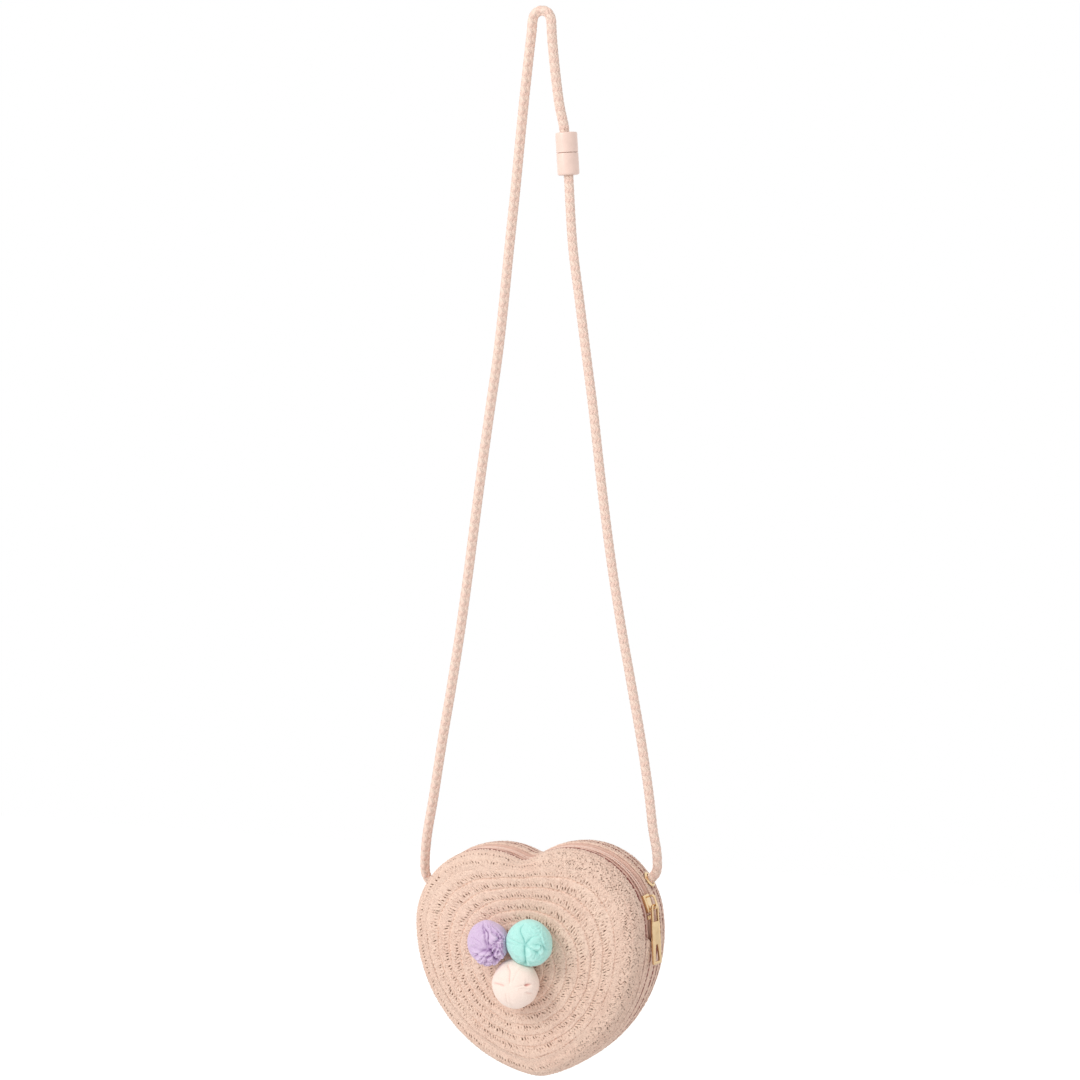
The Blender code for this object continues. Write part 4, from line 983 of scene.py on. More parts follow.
def into_clasp(end, outside, aside):
    """Centre line from just outside the clasp to just short of the knot inside it."""
    frame_matrix = clasp_frame()
    return [(frame_matrix @ (aside, 0, height, 1))[:3] for height in (outside, end)]


def strap_routes():
    """The route of each stretch of the strap, from the eyelets to the two halves of the clasp."""
    upper = through_eyelet(-1, LEFT_EYELET_ROUTE) + [np.array(point) for point in STRAP_ROUTE]
    upper += into_clasp(CLASP_UPPER - CLASP_FLOOR, CLASP_UPPER + CLASP_ROPE_LEAD, CLASP_TOP_OFFSET)
    lower = into_clasp(CLASP_FLOOR - CLASP_LOWER, -CLASP_LOWER - CLASP_ROPE_LEAD, 0)[::-1]
    lower += [np.array(point) for point in LOWER_STRAP_ROUTE] + through_eyelet(1, RIGHT_EYELET_ROUTE)[::-1]
    return np.array(upper), np.array(lower)


def knot_lump(frame_matrix, top, diameter, length):
    """A pulled-tight knot: a round lump with three wraps that wind round it.

    Radius = half the diameter * (1 - t^4)^(1/2) * (1 + 0.09 cos(3 angle + 4.4 t) - 0.09), where t goes from
    -1 to 1 along it.
    """
    rings, around = 33, 48
    turn = math.tau * np.arange(around) / around
    share = np.sin(np.linspace(-math.pi / 2, math.pi / 2, rings))[:, None]
    wraps = 1 + 0.09 * np.cos(3 * turn[None, :] + 4.4 * share) - 0.09
    radius = diameter / 2 * np.sqrt(np.clip(1 - share**4, 0, 1)) * wraps
    height = top - length / 2 + share * length / 2
    local = stacked(radius * np.cos(turn), radius * np.sin(turn), height, 1.0)
    points = (local @ frame_matrix.T)[..., :3]
    uv = stacked(turn[None, :] * 0.004, share * length)
    shade = np.zeros(points.shape[:2])
    return {"points": points, "quads": grid_quads(rings, around, False, True), "uv": uv, "shade": shade}


# Sizes and colours that a user would change


def length_property(name, description, default, precision=2):
    """A length in metres that a user can set."""
    return FloatProperty(
        name=name, description=description, default=default, precision=precision, unit="LENGTH"
    )


def colour_property(name, description, default):
    """A colour that a user can set."""
    return FloatVectorProperty(name=name, description=description, default=default, subtype="COLOR")


class StrawSizes(bpy.types.PropertyGroup):
    row_width: length_property("Row width", "Width of one row of braid", 0.0076)
    loop_length: length_property("Loop length", "Length of one loop along the braid", 0.0022)
    loop_height: length_property("Loop height", "How far the loops stand up", 0.00042, precision=5)
    slit_depth: length_property("Slit depth", "Depth of the slits between loops", 0.0011, precision=4)
    dash_length: length_property("Seam dash", "Length of a dash and its gap in the side seams", 0.0034)
    light: colour_property("Light straw", "Colour of the straw", (0.91, 0.685, 0.565))
    warm: colour_property("Warm straw", "Colour of the pinker straws", (0.85, 0.58, 0.47))
    # Colour of the painted shade down in the slits
    slit_shade: colour_property("Hollows", "Colour down in the slits", (0.125, 0.050, 0.022))
    # Colour of the seams: the stitches' red-brown, darkened as painted shade of the seam
    seam: colour_property("Seams", "Colour in the side seams", (0.24, 0.036, 0.026))


class StrapSizes(bpy.types.PropertyGroup):
    strand_turn: length_property("Strand turn", "Length in which a strand goes once round", 0.026)
    strand_width: length_property("Strand width", "Width of a strand", 0.0039)
    strand_height: length_property("Strand height", "Thickness of a strand", 0.0024, precision=4)
    strand_weave: length_property("Weave", "How far a strand goes in and out", 0.00028, precision=5)
    ring_spacing: length_property("Ring spacing", "Distance between a strand's rings", 0.0008, precision=4)
    pink: colour_property("Pink strands", "Colour of the pinker strands", (0.895, 0.665, 0.575))
    beige: colour_property("Beige strands", "Colour of the paler strands", (0.905, 0.712, 0.615))
    plastic: colour_property("Clasp", "Colour of the clasp", (0.88, 0.66, 0.58))


class ZipSizes(bpy.types.PropertyGroup):
    coil_pitch: length_property("Coil pitch", "Length of one turn of the coil", 0.00115, precision=5)
    coil_wire: length_property("Coil wire", "Radius of the coil's wire", 0.00048, precision=5)
    stitch_length: length_property("Stitch", "Length of one stitch and its gap", 0.0028)
    tape: colour_property("Tape", "Colour of the zip's tape", (0.93, 0.62, 0.51))
    coil: colour_property("Coil", "Colour of the zip's coil", (0.97, 0.72, 0.62))
    gold: colour_property("Gold", "Colour of the gold fittings", (0.88, 0.66, 0.40))


class PompomSizes(bpy.types.PropertyGroup):
    folds: IntProperty(name="Folds", description="Small creases of each pompom", default=9, min=0, max=24)
    fold_depth: FloatProperty(
        name="Fold depth", description="Depth of the folds as a share of the radius",
        default=0.15, min=0, max=0.5,
    )
    lilac: colour_property("Lilac", "Colour of the left pompom", (0.64, 0.48, 0.70))
    mint: colour_property("Mint", "Colour of the right pompom", (0.42, 0.80, 0.74))
    cream: colour_property("Cream", "Colour of the lower pompom", (0.93, 0.76, 0.68))


class StageLook(bpy.types.PropertyGroup):
    fill_light: FloatProperty(
        name="Fill light", description="Strength of the light from all round", default=0.86
    )
    key_power: FloatProperty(
        name="Key light", description="Power of the soft lamp", default=16.0, unit="POWER"
    )
    floor: colour_property("Floor", "Colour of the floor", (0.86, 0.86, 0.86))


# Materials


def add_node(tree, kind, inputs=(), **settings):
    """A node with these settings, whose named or numbered inputs take a value or another node's output."""
    made = tree.nodes.new("ShaderNode" + kind)
    for key, value in settings.items():
        setattr(made, key, value)
    for key, value in dict(inputs).items():
        if isinstance(value, bpy.types.NodeSocket):
            tree.links.new(value, made.inputs[key])
        else:
            made.inputs[key].default_value = value
    return made


def new_material(name, **sockets):
    """A Principled material with these values on its own sockets, its tree and its shader."""
    made = bpy.data.materials.new(name)
    made.use_nodes = True
    shader = made.node_tree.nodes["Principled BSDF"]
    for key, value in sockets.items():
        shader.inputs[key.replace("_", " ")].default_value = value
    return made, made.node_tree, shader


def mix_colours(tree, factor, first, second):
    """Output of a colour mix of two colours or sockets."""
    def colour(value):
        return value if isinstance(value, bpy.types.NodeSocket) else (*value, 1.0)

    node = add_node(tree, "Mix", {0: factor, 6: colour(first), 7: colour(second)}, data_type="RGBA")
    return node.outputs[2]


def shaded(colour, share):
    """The colour times a share, or times one share for each channel."""
    return tuple(np.multiply(colour, share))


def maths(tree, operation, *values):
    """Output of a Math node on these values or sockets."""
    return add_node(tree, "Math", enumerate(values), operation=operation).outputs[0]


def point_value(tree, name):
    """The value that the mesh holds at each point under this name, such as hollow."""
    return add_node(tree, "Attribute", attribute_name=name).outputs["Fac"]


def scaled_uv(tree, along, across):
    """The piece's UV, in metres along and across, stretched by these scales."""
    place = add_node(tree, "UVMap", uv_map="along_across").outputs[0]
    return add_node(tree, "Mapping", {0: place, 3: (along, across, 1.0)}).outputs[0]


def noise_at(tree, place, scale, detail=3.0, roughness=0.55, distortion=0.0):
    """Value of a noise texture at this place."""
    inputs = {0: place, "Scale": scale, "Detail": detail, "Roughness": roughness, "Distortion": distortion}
    return add_node(tree, "TexNoise", inputs).outputs[0]


def sharpened(tree, value, low, high, start=0.0, end=1.0):
    """A value mapped from low-high to start-end and held there."""
    return add_node(tree, "MapRange", {0: value, 1: low, 2: high, 3: start, 4: end}).outputs[0]


def bump_from(tree, shader, height, distance, strength=1.0, over=None):
    """Puts a bump of this height into the shader's normal, over another bump if there is one."""
    inputs = {"Strength": strength, "Distance": distance, "Height": height}
    if over is not None:
        inputs["Normal"] = over
    bump = add_node(tree, "Bump", inputs).outputs[0]
    tree.links.new(bump, shader.inputs["Normal"])
    return bump


def object_place(tree, scale=(1.0, 1.0, 1.0)):
    """The place on the piece in metres, stretched by this scale."""
    place = add_node(tree, "TexCoord").outputs["Object"]
    return add_node(tree, "Mapping", {0: place, 3: scale}).outputs[0]


def straw_finish(look):
    """Twisted paper straw: mottled along its fibres, pinker in patches, with painted highlights and painted
    shade.
    """
    made, tree, shader = new_material("braided_straw", Roughness=0.58)
    fibres = noise_at(tree, scaled_uv(tree, 900, 5200), 1.0, 4.0, 0.65)
    curls = noise_at(tree, scaled_uv(tree, 820, 620), 1.0, 2.0, 0.6, 1.6)
    loops = noise_at(tree, scaled_uv(tree, 430, 330), 1.0, 1.0, 0.5, 2.4)
    away = maths(tree, "ABSOLUTE", maths(tree, "SUBTRACT", loops, 0.5))
    lines = sharpened(tree, away, 0.006, 0.030, 1.0, 0.0)
    patches = noise_at(tree, object_place(tree), 45.0, 3.0, 0.6)
    warm = maths(tree, "MULTIPLY", sharpened(tree, fibres, 0.35, 0.70), 0.32)
    warm = maths(tree, "MULTIPLY_ADD", sharpened(tree, patches, 0.38, 0.66), 0.40, warm)
    warm = maths(tree, "MULTIPLY_ADD", point_value(tree, "tone"), 0.15, warm)
    colour = mix_colours(tree, warm, look.light, look.warm)
    # Painted highlight: paler straw on the crests of the curls
    pale = tuple(min(1.0, channel * 1.12 + 0.02) for channel in look.light)
    colour = mix_colours(tree, sharpened(tree, curls, 0.56, 0.70, 0.0, 0.75), colour, pale)
    # Painted shade in the hollows of the curls
    shade = shaded(look.warm, 0.62)
    colour = mix_colours(tree, sharpened(tree, curls, 0.43, 0.33, 0.0, 0.45), colour, shade)
    # Painted shade: dark lines along the crevices between the curls
    crevice_shade = maths(tree, "MULTIPLY", lines, sharpened(tree, curls, 0.42, 0.54, 0.72, 0.0))
    colour = mix_colours(tree, crevice_shade, colour, shaded(look.warm, (0.45, 0.33, 0.27)))
    # Painted highlight on the raised loops
    colour = mix_colours(tree, sharpened(tree, point_value(tree, "loop"), 0.45, 1.0, 0.0, 0.7), colour, pale)
    # Painted shade down in the slits, where their shine is also taken away
    slit_shade = point_value(tree, "slit_shade")
    colour = mix_colours(tree, sharpened(tree, slit_shade, 0.15, 0.75, 0.0, 0.92), colour, look.slit_shade)
    tree.links.new(sharpened(tree, slit_shade, 0.1, 0.5, 0.4, 0.02), shader.inputs["Specular IOR Level"])
    # Red-brown stitch dashes, darkened with painted shade of the seam's groove
    seam = sharpened(tree, point_value(tree, "seam"), 0.1, 0.7, 0.0, 0.95)
    colour = mix_colours(tree, seam, colour, look.seam)
    tree.links.new(colour, shader.inputs["Base Color"])
    first = bump_from(tree, shader, curls, 0.0009, 0.7)
    second = bump_from(tree, shader, away, 0.0010, 0.5, first)
    bump_from(tree, shader, fibres, 0.00016, 0.8, second)
    return made


def rope_finish(look):
    """Cotton strands of two shades, each with its own fine twisted yarns."""
    made, tree, shader = new_material(
        "cotton_rope", Roughness=0.85, Specular_IOR_Level=0.2, Sheen_Weight=0.15
    )
    fibres = noise_at(tree, scaled_uv(tree, 500, 9), 1.0, 4.0, 0.65)
    colour = mix_colours(tree, point_value(tree, "shade"), look.beige, look.pink)
    darker = add_node(tree, "HueSaturation", {"Saturation": 1.1, "Value": 0.92, "Color": colour}).outputs[0]
    colour = mix_colours(tree, sharpened(tree, fibres, 0.38, 0.72, 0.0, 0.75), colour, darker)
    tree.links.new(colour, shader.inputs["Base Color"])
    wave = {0: scaled_uv(tree, 520, 3.0), "Scale": 1.0, "Distortion": 0.8, "Detail": 1.0}
    yarns = add_node(tree, "TexWave", wave, bands_direction="DIAGONAL").outputs[1]
    first = bump_from(tree, shader, yarns, 0.00014, 0.8)
    bump_from(tree, shader, fibres, 0.0001, 0.7, first)
    return made


def cloth_finish(name, colour, along, across, depth):
    """Plain woven cloth: crossing threads, a little uneven in colour, with painted shade between its threads
    and in its grooves.
    """
    made, tree, shader = new_material(name, Roughness=0.85, Specular_IOR_Level=0.2, Sheen_Weight=0.2)
    wave = {0: scaled_uv(tree, along, across), "Scale": 1.0, "Distortion": 0.3}
    warp, weft = (add_node(tree, "TexWave", wave, bands_direction=way).outputs[1] for way in "XY")
    woven = maths(tree, "MULTIPLY", warp, weft)
    uneven = noise_at(tree, scaled_uv(tree, 300, 300), 1.0)
    dark = shaded(colour, 0.72)
    shown = mix_colours(tree, sharpened(tree, uneven, 0.3, 0.75, 0.0, 0.5), colour, dark)
    # Painted shade between the threads
    shown = mix_colours(tree, sharpened(tree, woven, 0.0, 0.5, 0.35, 0.0), shown, dark)
    # Painted shade in the tape's grooves and under the straw's edge, with the ridge's stitched seam
    shown = mix_colours(tree, point_value(tree, "groove"), shown, shaded(colour, (0.42, 0.26, 0.24)))
    tree.links.new(shown, shader.inputs["Base Color"])
    bump_from(tree, shader, woven, depth, 0.8)
    return made


def nylon_finish(name, colour):
    """Moulded or drawn nylon: satin, faintly uneven."""
    made, tree, shader = new_material(name, Roughness=0.42, Specular_IOR_Level=0.45)
    uneven = noise_at(tree, object_place(tree), 900.0, 3.0)
    dark = shaded(colour, 0.86)
    shown = mix_colours(tree, sharpened(tree, uneven, 0.35, 0.7), colour, dark)
    tree.links.new(shown, shader.inputs["Base Color"])
    bump_from(tree, shader, uneven, 0.00006, 0.5)
    return made


def plastic_finish(colour):
    """Satin moulded plastic with a fine grain."""
    made, tree, shader = new_material(
        "clasp_plastic", Specular_IOR_Level=0.5, Coat_Weight=0.12, Coat_Roughness=0.25
    )
    grain = noise_at(tree, object_place(tree), 2600.0, 2.0)
    clouds = noise_at(tree, object_place(tree), 160.0, 3.0)
    dark = shaded(colour, 0.93)
    shown = mix_colours(tree, sharpened(tree, clouds, 0.35, 0.7), colour, dark)
    tree.links.new(shown, shader.inputs["Base Color"])
    tree.links.new(sharpened(tree, clouds, 0.3, 0.7, 0.30, 0.42), shader.inputs["Roughness"])
    bump_from(tree, shader, grain, 0.00002, 0.5)
    return made


def gold_finish(colour):
    """Polished light gold plate with soft waves and fine scratches."""
    made, tree, shader = new_material("gold_plate", Metallic=1.0)
    waves = noise_at(tree, object_place(tree), 260.0, 2.0)
    scratches = noise_at(tree, object_place(tree, (900, 900, 9000)), 1.0, 2.0)
    deep = shaded(colour, (0.72, 0.62, 0.45))
    shown = mix_colours(tree, sharpened(tree, waves, 0.4, 0.72, 0.1, 0.4), colour, deep)
    tree.links.new(shown, shader.inputs["Base Color"])
    tree.links.new(sharpened(tree, scratches, 0.3, 0.75, 0.16, 0.30), shader.inputs["Roughness"])
    bump_from(tree, shader, waves, 0.00003, 0.3)
    return made


def tulle_finish(name, colour, crease):
    """Gathered tulle in many layers: a fine net on its surface, painted shade in the folds and painted
    highlight on the crests.
    """
    made, tree, shader = new_material(name, Roughness=0.8, Specular_IOR_Level=0.25, Sheen_Weight=0.35)
    place = object_place(tree)
    net = add_node(tree, "TexVoronoi", {0: place, "Scale": 1500.0}, feature="DISTANCE_TO_EDGE").outputs[0]
    threads = sharpened(tree, net, 0.02, 0.16, 1.0, 0.0)
    # Painted shade: the crease colour in the creases, the gathered pit and the crinkles' hollows
    fold = sharpened(tree, point_value(tree, "fold"), 0.25, 0.95, 0.0, 0.8)
    shown = mix_colours(tree, fold, colour, crease)
    pale = add_node(tree, "HueSaturation", {"Saturation": 0.78, "Value": 1.16, "Color": shown}).outputs[0]
    shown = mix_colours(tree, maths(tree, "MULTIPLY", threads, 0.5), shown, pale)
    # Painted highlight on the crests of the crinkles
    shown = mix_colours(tree, sharpened(tree, point_value(tree, "edge"), 0.35, 0.8, 0.0, 0.7), shown, pale)
    tree.links.new(shown, shader.inputs["Base Color"])
    crumple = noise_at(tree, place, 700.0, 3.0, 0.6)
    first = bump_from(tree, shader, threads, 0.00006, 0.6)
    bump_from(tree, shader, crumple, 0.0003, 0.5, first)
    return made


# Pieces from the grids


def grid_piece(name, grid, finish, body, slot, *nodes):
    """A piece from one grid or several joined ones."""
    return add_piece(name, mesh_from_arrays(name, **grid), finish, body, slot, *nodes)


def with_uv(grid):
    """The grid with a UV of its own points' order, for a turned piece that has none."""
    rows, columns = grid["points"].shape[:2]
    uv = np.stack(np.meshgrid(np.arange(columns), np.arange(rows)), axis=-1) * MM
    return {**grid, "uv": uv.astype(float)}


def turned_piece(name, profile, matrix, arc_steps, steps, finish, body, slot, node):
    """A piece turned from a profile of corners, each with the radius that rounds it."""
    corners, radii = zip(*profile)
    shape = turned(rounded_profile(corners, radii, arc_steps), matrix, steps)
    return grid_piece(name, with_uv(shape), finish, body, slot, node)


def cad_copy(node, name, finish, body, slot, bevel):
    """A copy of a CAD node with its loose triangles merged into faces and its edges rounded by a bevel."""
    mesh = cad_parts[node].data.copy()
    mesh.materials.clear()
    work = bmesh.new()
    work.from_mesh(mesh)
    bmesh.ops.remove_doubles(work, verts=work.verts, dist=CAD_MERGE)
    bmesh.ops.dissolve_limit(work, angle_limit=math.radians(1.0), verts=work.verts, edges=work.edges)
    work.to_mesh(mesh)
    work.free()
    mesh.name = name
    mesh.shade_smooth()
    piece = add_piece(name, mesh, finish, body, slot, node)
    modifier = piece.modifiers.new("rounded_edges", "BEVEL")
    modifier.width, modifier.segments, modifier.limit_method = bevel, 3, "ANGLE"
    modifier.angle_limit = math.radians(28)
    modifier.harden_normals = True
    return piece


def lining_half(side, seed):
    """Half of the lining: a thin double wall inside the straw that wanders in and out in soft wrinkles.

    Each wall follows the rim inwards and then runs flat to the middle of the face.
    """
    depth = STRAW_WALL + LAYER_GAP + TAPE_THICKNESS + LAYER_GAP
    runs = np.linspace(0, 2 * HALF_OUTLINE, 300, endpoint=False)[:, None]
    cloth_mouth = ZIP_MOUTH / 2 - LINING_SETBACK
    edge = rim_length_at(ZIP_Y + side * mouth_half(runs, LAYER_GAP / 2, cloth_mouth))
    share = np.linspace(0, 1, 24)[None, :]
    lengths = edge + (side * RIM_LENGTHS[-1] - edge) * share
    long_noise = lattice_noise(runs / 0.011, share * 5 + 0 * runs, 48, seed)
    short_noise = lattice_noise(runs / 0.0046, share * 9 + 0 * runs, 115, seed + 1)
    wrinkle = (long_noise * 1.3 + short_noise * 0.5) * MM * smoothstep(0, 0.2, share)
    inner = np.linspace(1, 0, 16)[None, 1:]
    walls = []
    for lift in (0.0, LINING_THICKNESS):
        rim = on_rim(runs, lengths, -depth - lift - wrinkle)
        last = rim[:, -1:]
        middle = np.array([ROW_CENTRE[0], last[..., 1].mean(), ROW_CENTRE[1]])
        flat = middle + (last - middle) * inner[..., None]
        flat[..., 1] += 0.25 * MM * side * wander(inner, 0.3, seed) * inner
        walls.append(np.concatenate([rim, flat], axis=1))
    points = from_bag(np.concatenate([walls[0], walls[1][:, ::-1]], axis=1))
    rows, columns = points.shape[:2]
    reach = np.concatenate([share * 0.03, 0.03 + (1 - inner) * 0.06], axis=1)
    uv = stacked(runs, np.concatenate([reach, reach[:, ::-1]], axis=1))
    quads = grid_quads(rows, columns, True, True)
    # The two walls stay apart at the middle of the face
    quads = quads[quads[:, 0] % columns != columns // 2 - 1]
    return {"points": points, "quads": quads if side > 0 else quads[:, ::-1], "uv": uv}


def tape_strip(side):
    """A zip tape: a thin strip along the outline with a fold and a seamed ridge, that waves a little."""
    start = ZIP_END - ZIP_END_TAPER - TAPE_TUCK
    depth = STRAW_WALL + LAYER_GAP
    runs = np.linspace(start, 2 * HALF_OUTLINE - start, 520)[:, None]
    near = ZIP_Y + side * ZIP_CHANNEL / 2
    share = np.linspace(0, 1, 28)[None, :]
    lengths = rim_length_at(near + side * TAPE_WIDTH * share)
    off = ZIP_CHANNEL / 2 + TAPE_WIDTH * share
    swell = 1 + 0.1 * wander(runs, 0.02, 40 + side)
    fold = 0.3 * np.exp(-(((off - TAPE_FOLD_AT) / 0.0006) ** 2))
    folds = fold + 2.05 * swell * np.exp(-(((off - TAPE_RIDGE_AT) / 0.0013) ** 4))
    folds = folds * MM * np.minimum(1, np.minimum(runs - start, 2 * HALF_OUTLINE - start - runs) / 0.012)
    top, foot = (on_rim(runs, lengths, folds - low) for low in (depth, depth + TAPE_THICKNESS))
    points = from_bag(np.concatenate([top, foot[:, ::-1]], axis=1))
    across = share * TAPE_WIDTH
    uv = stacked(runs, np.concatenate([across, across[:, ::-1]], axis=1))
    stitched = 0.72 + 0.28 * np.sin(math.tau * runs / TAPE_STITCH)
    # The ridge's stitched seam, and painted shade round the fold and along the edge under the straw
    lines = stitched * 0.9 * np.exp(-(((off - TAPE_RIDGE_AT) / 0.00028) ** 2))
    lines = lines + 1.1 * np.exp(-(((off - TAPE_GROOVE_AT) / 0.0013) ** 4))
    lines = np.clip(lines + smoothstep(*TAPE_EDGE_AT, off), 0, 1)
    groove = np.concatenate([lines, 0 * lines], axis=1)
    return faced({"points": points, "uv": uv, "groove": groove}, False, side < 0)


def coil_helix(side, zips):
    """The coil of one tape: a wire wound round a line beside the channel, as an oval helix.

    At turn t its middle stands (width / 2) cos(2 pi t) across and (height / 2) sin(2 pi t) deep.
    """
    start = LOBE_START + LOBE_RADIUS * COIL_END_ANGLE
    whole = 2 * (HALF_OUTLINE - start)
    turns = round(whole / zips.coil_pitch)
    per_turn = 10
    turn = np.arange(turns * per_turn + 1) / per_turn
    runs = start + whole * turn / turns
    wire = zips.coil_wire
    near = ZIP_Y + side * ZIP_CHANNEL / 2
    swing = np.cos(math.tau * turn + (0 if side > 0 else math.pi))
    y = near + side * (COIL_WIDTH / 2 + (COIL_WIDTH / 2 - wire) * swing)
    depth = STRAW_WALL - COIL_HEIGHT / 2 - (COIL_HEIGHT / 2 - wire) * np.sin(math.tau * turn)
    return tube(from_bag(on_rim(runs, rim_length_at(y), -depth)), wire, 6)


def stitch_line(runs, across, height, length, thick):
    """Stitches at these runs on a line along the rim, each a little rounded bar that dips at its ends."""
    steps = np.linspace(-1, 1, 7)
    around = 6
    angle = math.tau * np.arange(around) / around
    spots = runs[:, None] + steps[None, :] * length / 2
    lift = height + thick * (0.45 * (1 - steps**2) - 0.1)[None, :] + 0 * spots
    size = np.sqrt(np.clip(1 - steps**4, 0, 1)) * thick
    out = lift[..., None] + size[None, :, None] * np.cos(angle) * 0.8
    aside = across + size[None, :, None] * np.sin(angle)
    points = from_bag(on_rim(spots[..., None], aside, out))
    one = grid_quads(len(steps), around, False, True)
    quads = (one[None] + (np.arange(len(runs)) * len(steps) * around)[:, None, None]).reshape(-1, 4)
    return {"points": points, "quads": quads, "uv": stacked(spots[..., None], aside)}


def pressed(points, middle, neighbours):
    """Points of a soft ball flattened where they would pass into a neighbour.

    Each neighbour is its middle and how far along the line to it the two balls meet.
    """
    for other, meet in neighbours:
        ahead = unit(other - middle)
        over = np.maximum(0, (points - middle) @ ahead - meet)
        points = points - over[..., None] * ahead
    return points


def crinkles(u, v, scale, seed):
    """Curving crests over a disc, 1 along them: 1 - |2 n - 1|, of lattice noise n bent by another noise."""
    bent_u, bent_v = (
        3.2 * (lattice_noise(u * scale * 0.5 + 30, v * scale * 0.5 + 30, NOISE_CELLS, seed + shift) - 0.5)
        for shift in (1, 2)
    )
    noise = lattice_noise(u * scale + bent_u + 32, v * scale + bent_v + 32, NOISE_CELLS, seed)
    return 1 - np.abs(2 * noise - 1)


def creased(polar, turn, bend_noise, creases, folds, rng):
    """How deep a place is in the deepest of the creases: the main ones, and so many lesser ones at random.

    A crease is its strength * exp(-(distance from it / width)^1.2), from where it starts to where it ends.
    """
    lesser = [
        [rng.uniform(*reach) for reach in ((0, 360), (0.1, 0.7), (0.7, 1.5), (0.1, 0.3), (-0.4, 0.4))]
        for _ in range(folds)
    ]
    across = np.sin(np.minimum(polar, 1.9)) + 0.08
    cut = np.zeros_like(bend_noise)
    for angle, first, last, power, bend in (*creases, *lesser):
        away = turn + (0.5 * bend_noise + bend * polar) - math.radians(angle)
        aside = np.abs(np.mod(away + math.pi, math.tau) - math.pi) * across
        length = smoothstep(first - 0.12, first + 0.12, polar)
        length = length * (1 - smoothstep(last - 0.25, last + 0.25, polar))
        width = rng.uniform(0.045, 0.075)
        cut = np.maximum(cut, power * length * np.exp(-((aside / width) ** 1.2)))
    return cut


def tulle_ball(ball, middle, radius, look, neighbours):
    """A gathered ball of tulle, drawn in at one point of its front, from which creases run out and round it.

    Reach = 1 - depth * the deepest crease + crumple * the crests of crinkles where the cloth is gathered.
    """
    rows, columns = 180, 380
    seed, pit = ball["seed"], ball["pit"]
    polar = np.pi * (np.arange(rows + 1) / rows)[:, None]
    turn = math.tau * np.arange(columns)[None, :] / columns
    u, v = polar / 1.6 * np.cos(turn), polar / 1.6 * np.sin(turn)
    bumps = lattice_noise(u * 2.1 + 20, v * 2.1 + 20, NOISE_CELLS, seed + 3) - 0.5
    bend_noise = lattice_noise(u * 3.0 + 20, v * 3.0 + 20, NOISE_CELLS, seed + 5) - 0.5
    large, small, fine = (crinkles(u, v, scale, seed + 9 * scale) for scale in (6, 11, 19))
    behind = 1 - smoothstep(2.3, 2.9, polar)
    rng = np.random.default_rng(seed)
    cut = behind * creased(polar, turn, bend_noise, ball["creases"], look.folds, rng)
    gathered = (1 - smoothstep(0.85, 1.5, polar)) * (0.66 + 0.34 * np.cos(turn + 0.8))
    gathered = ball["crumple"] * (gathered * smoothstep(0, 0.15, polar))
    crest = np.clip(0.75 * large**4 + 0.45 * small**4, 0, 1)
    reach = 1 - look.fold_depth * cut
    reach = reach + gathered * (0.13 * large**2 + 0.06 * small**2 + 0.02 * fine - 0.09)
    bumps = bumps * behind * np.minimum(1, polar / 0.3)
    reach = reach + 0.06 * bumps - 0.14 * pit * np.exp(-((polar / 0.22) ** 2))
    near = np.minimum(1, polar / 0.08)
    reach = reach * near + reach.mean(1, keepdims=True) * (1 - near)
    out = radius * np.sin(polar) ** 0.80 * reach
    surface = -(BAG_DEPTH / 2 + FRONT_CROWN * 0.9)
    y = surface - POMPOM_HALF_DEPTH * (1 + np.cos(polar) * reach)
    lean = np.clip(np.cos(polar), 0, 1) ** 1.4
    x = middle[0] + out * np.cos(turn) + ball["point"][0] * lean
    z = middle[1] + out * np.sin(turn) + ball["point"][1] * lean
    flat = pressed(stacked(x, z), middle, neighbours)
    points = stacked(flat[..., 0], y, flat[..., 1])
    # Where the painted shade goes: the creases, the gathered pit and the hollows between the crinkles
    fold = cut + 0.8 * pit * np.exp(-((polar / 0.10) ** 2)) + gathered * np.clip(0.62 - large, 0, 0.6) * 1.3
    fold = np.clip(fold + gathered * 1.2 * np.clip(0.5 - small, 0, 1), 0, 1)
    uv = stacked(turn * radius, polar * radius)
    quads = grid_quads(rows + 1, columns, False, True)
    # Where the painted highlight goes: the crests of the crinkles where the cloth is gathered
    edge = np.clip(gathered * 1.4, 0, 1) * crest
    return {"points": from_bag(points), "quads": quads[:, ::-1], "uv": uv, "fold": fold, "edge": edge}


# Operators


class MakeStraw(bpy.types.Operator):
    """Makes the sewn straw braid of the front, the back, the rim and the side"""

    bl_idname = "straw_bag.make_straw"
    bl_label = "Straw braid"

    def execute(self, context):
        straw = context.scene.straw_sizes
        finish = straw_finish(straw)
        for side, name, crown, rows, sewn, relief, column, seed in (
            (-1, "front", FRONT_CROWN, 3, 1, side_relief, FINE_COLUMN, 100),
            (1, "back", 0.0, 5, 3, back_relief, COLUMN, 200),
        ):
            shell = name + "_shell"
            face = spiral_row(side, crown, straw, seed, column)
            for part, grid in zip(("inner", "outer"), halves(face)):
                grid_piece(f"straw_{name}_rows_{part}", grid, finish, BAG_BODY, "straw", shell)
            edges = [rim_edge(side, share) for share in np.linspace(0, 1, rows + 1)]
            rings = [gusset_row(side, straw, seed + 20, column)]
            for i in range(rows):
                kind = relief if i < sewn else rim_relief
                rings.append(ring_row(edges[i + 1], edges[i], kind, straw, seed + 3 + 40 * i, column))
            for part, start in enumerate(range(0, len(rings), 2)):
                grid = joined(rings[start : start + 2])
                grid_piece(f"straw_{name}_rim_{part + 1}", grid, finish, BAG_BODY, "straw", shell)
        return {"FINISHED"}


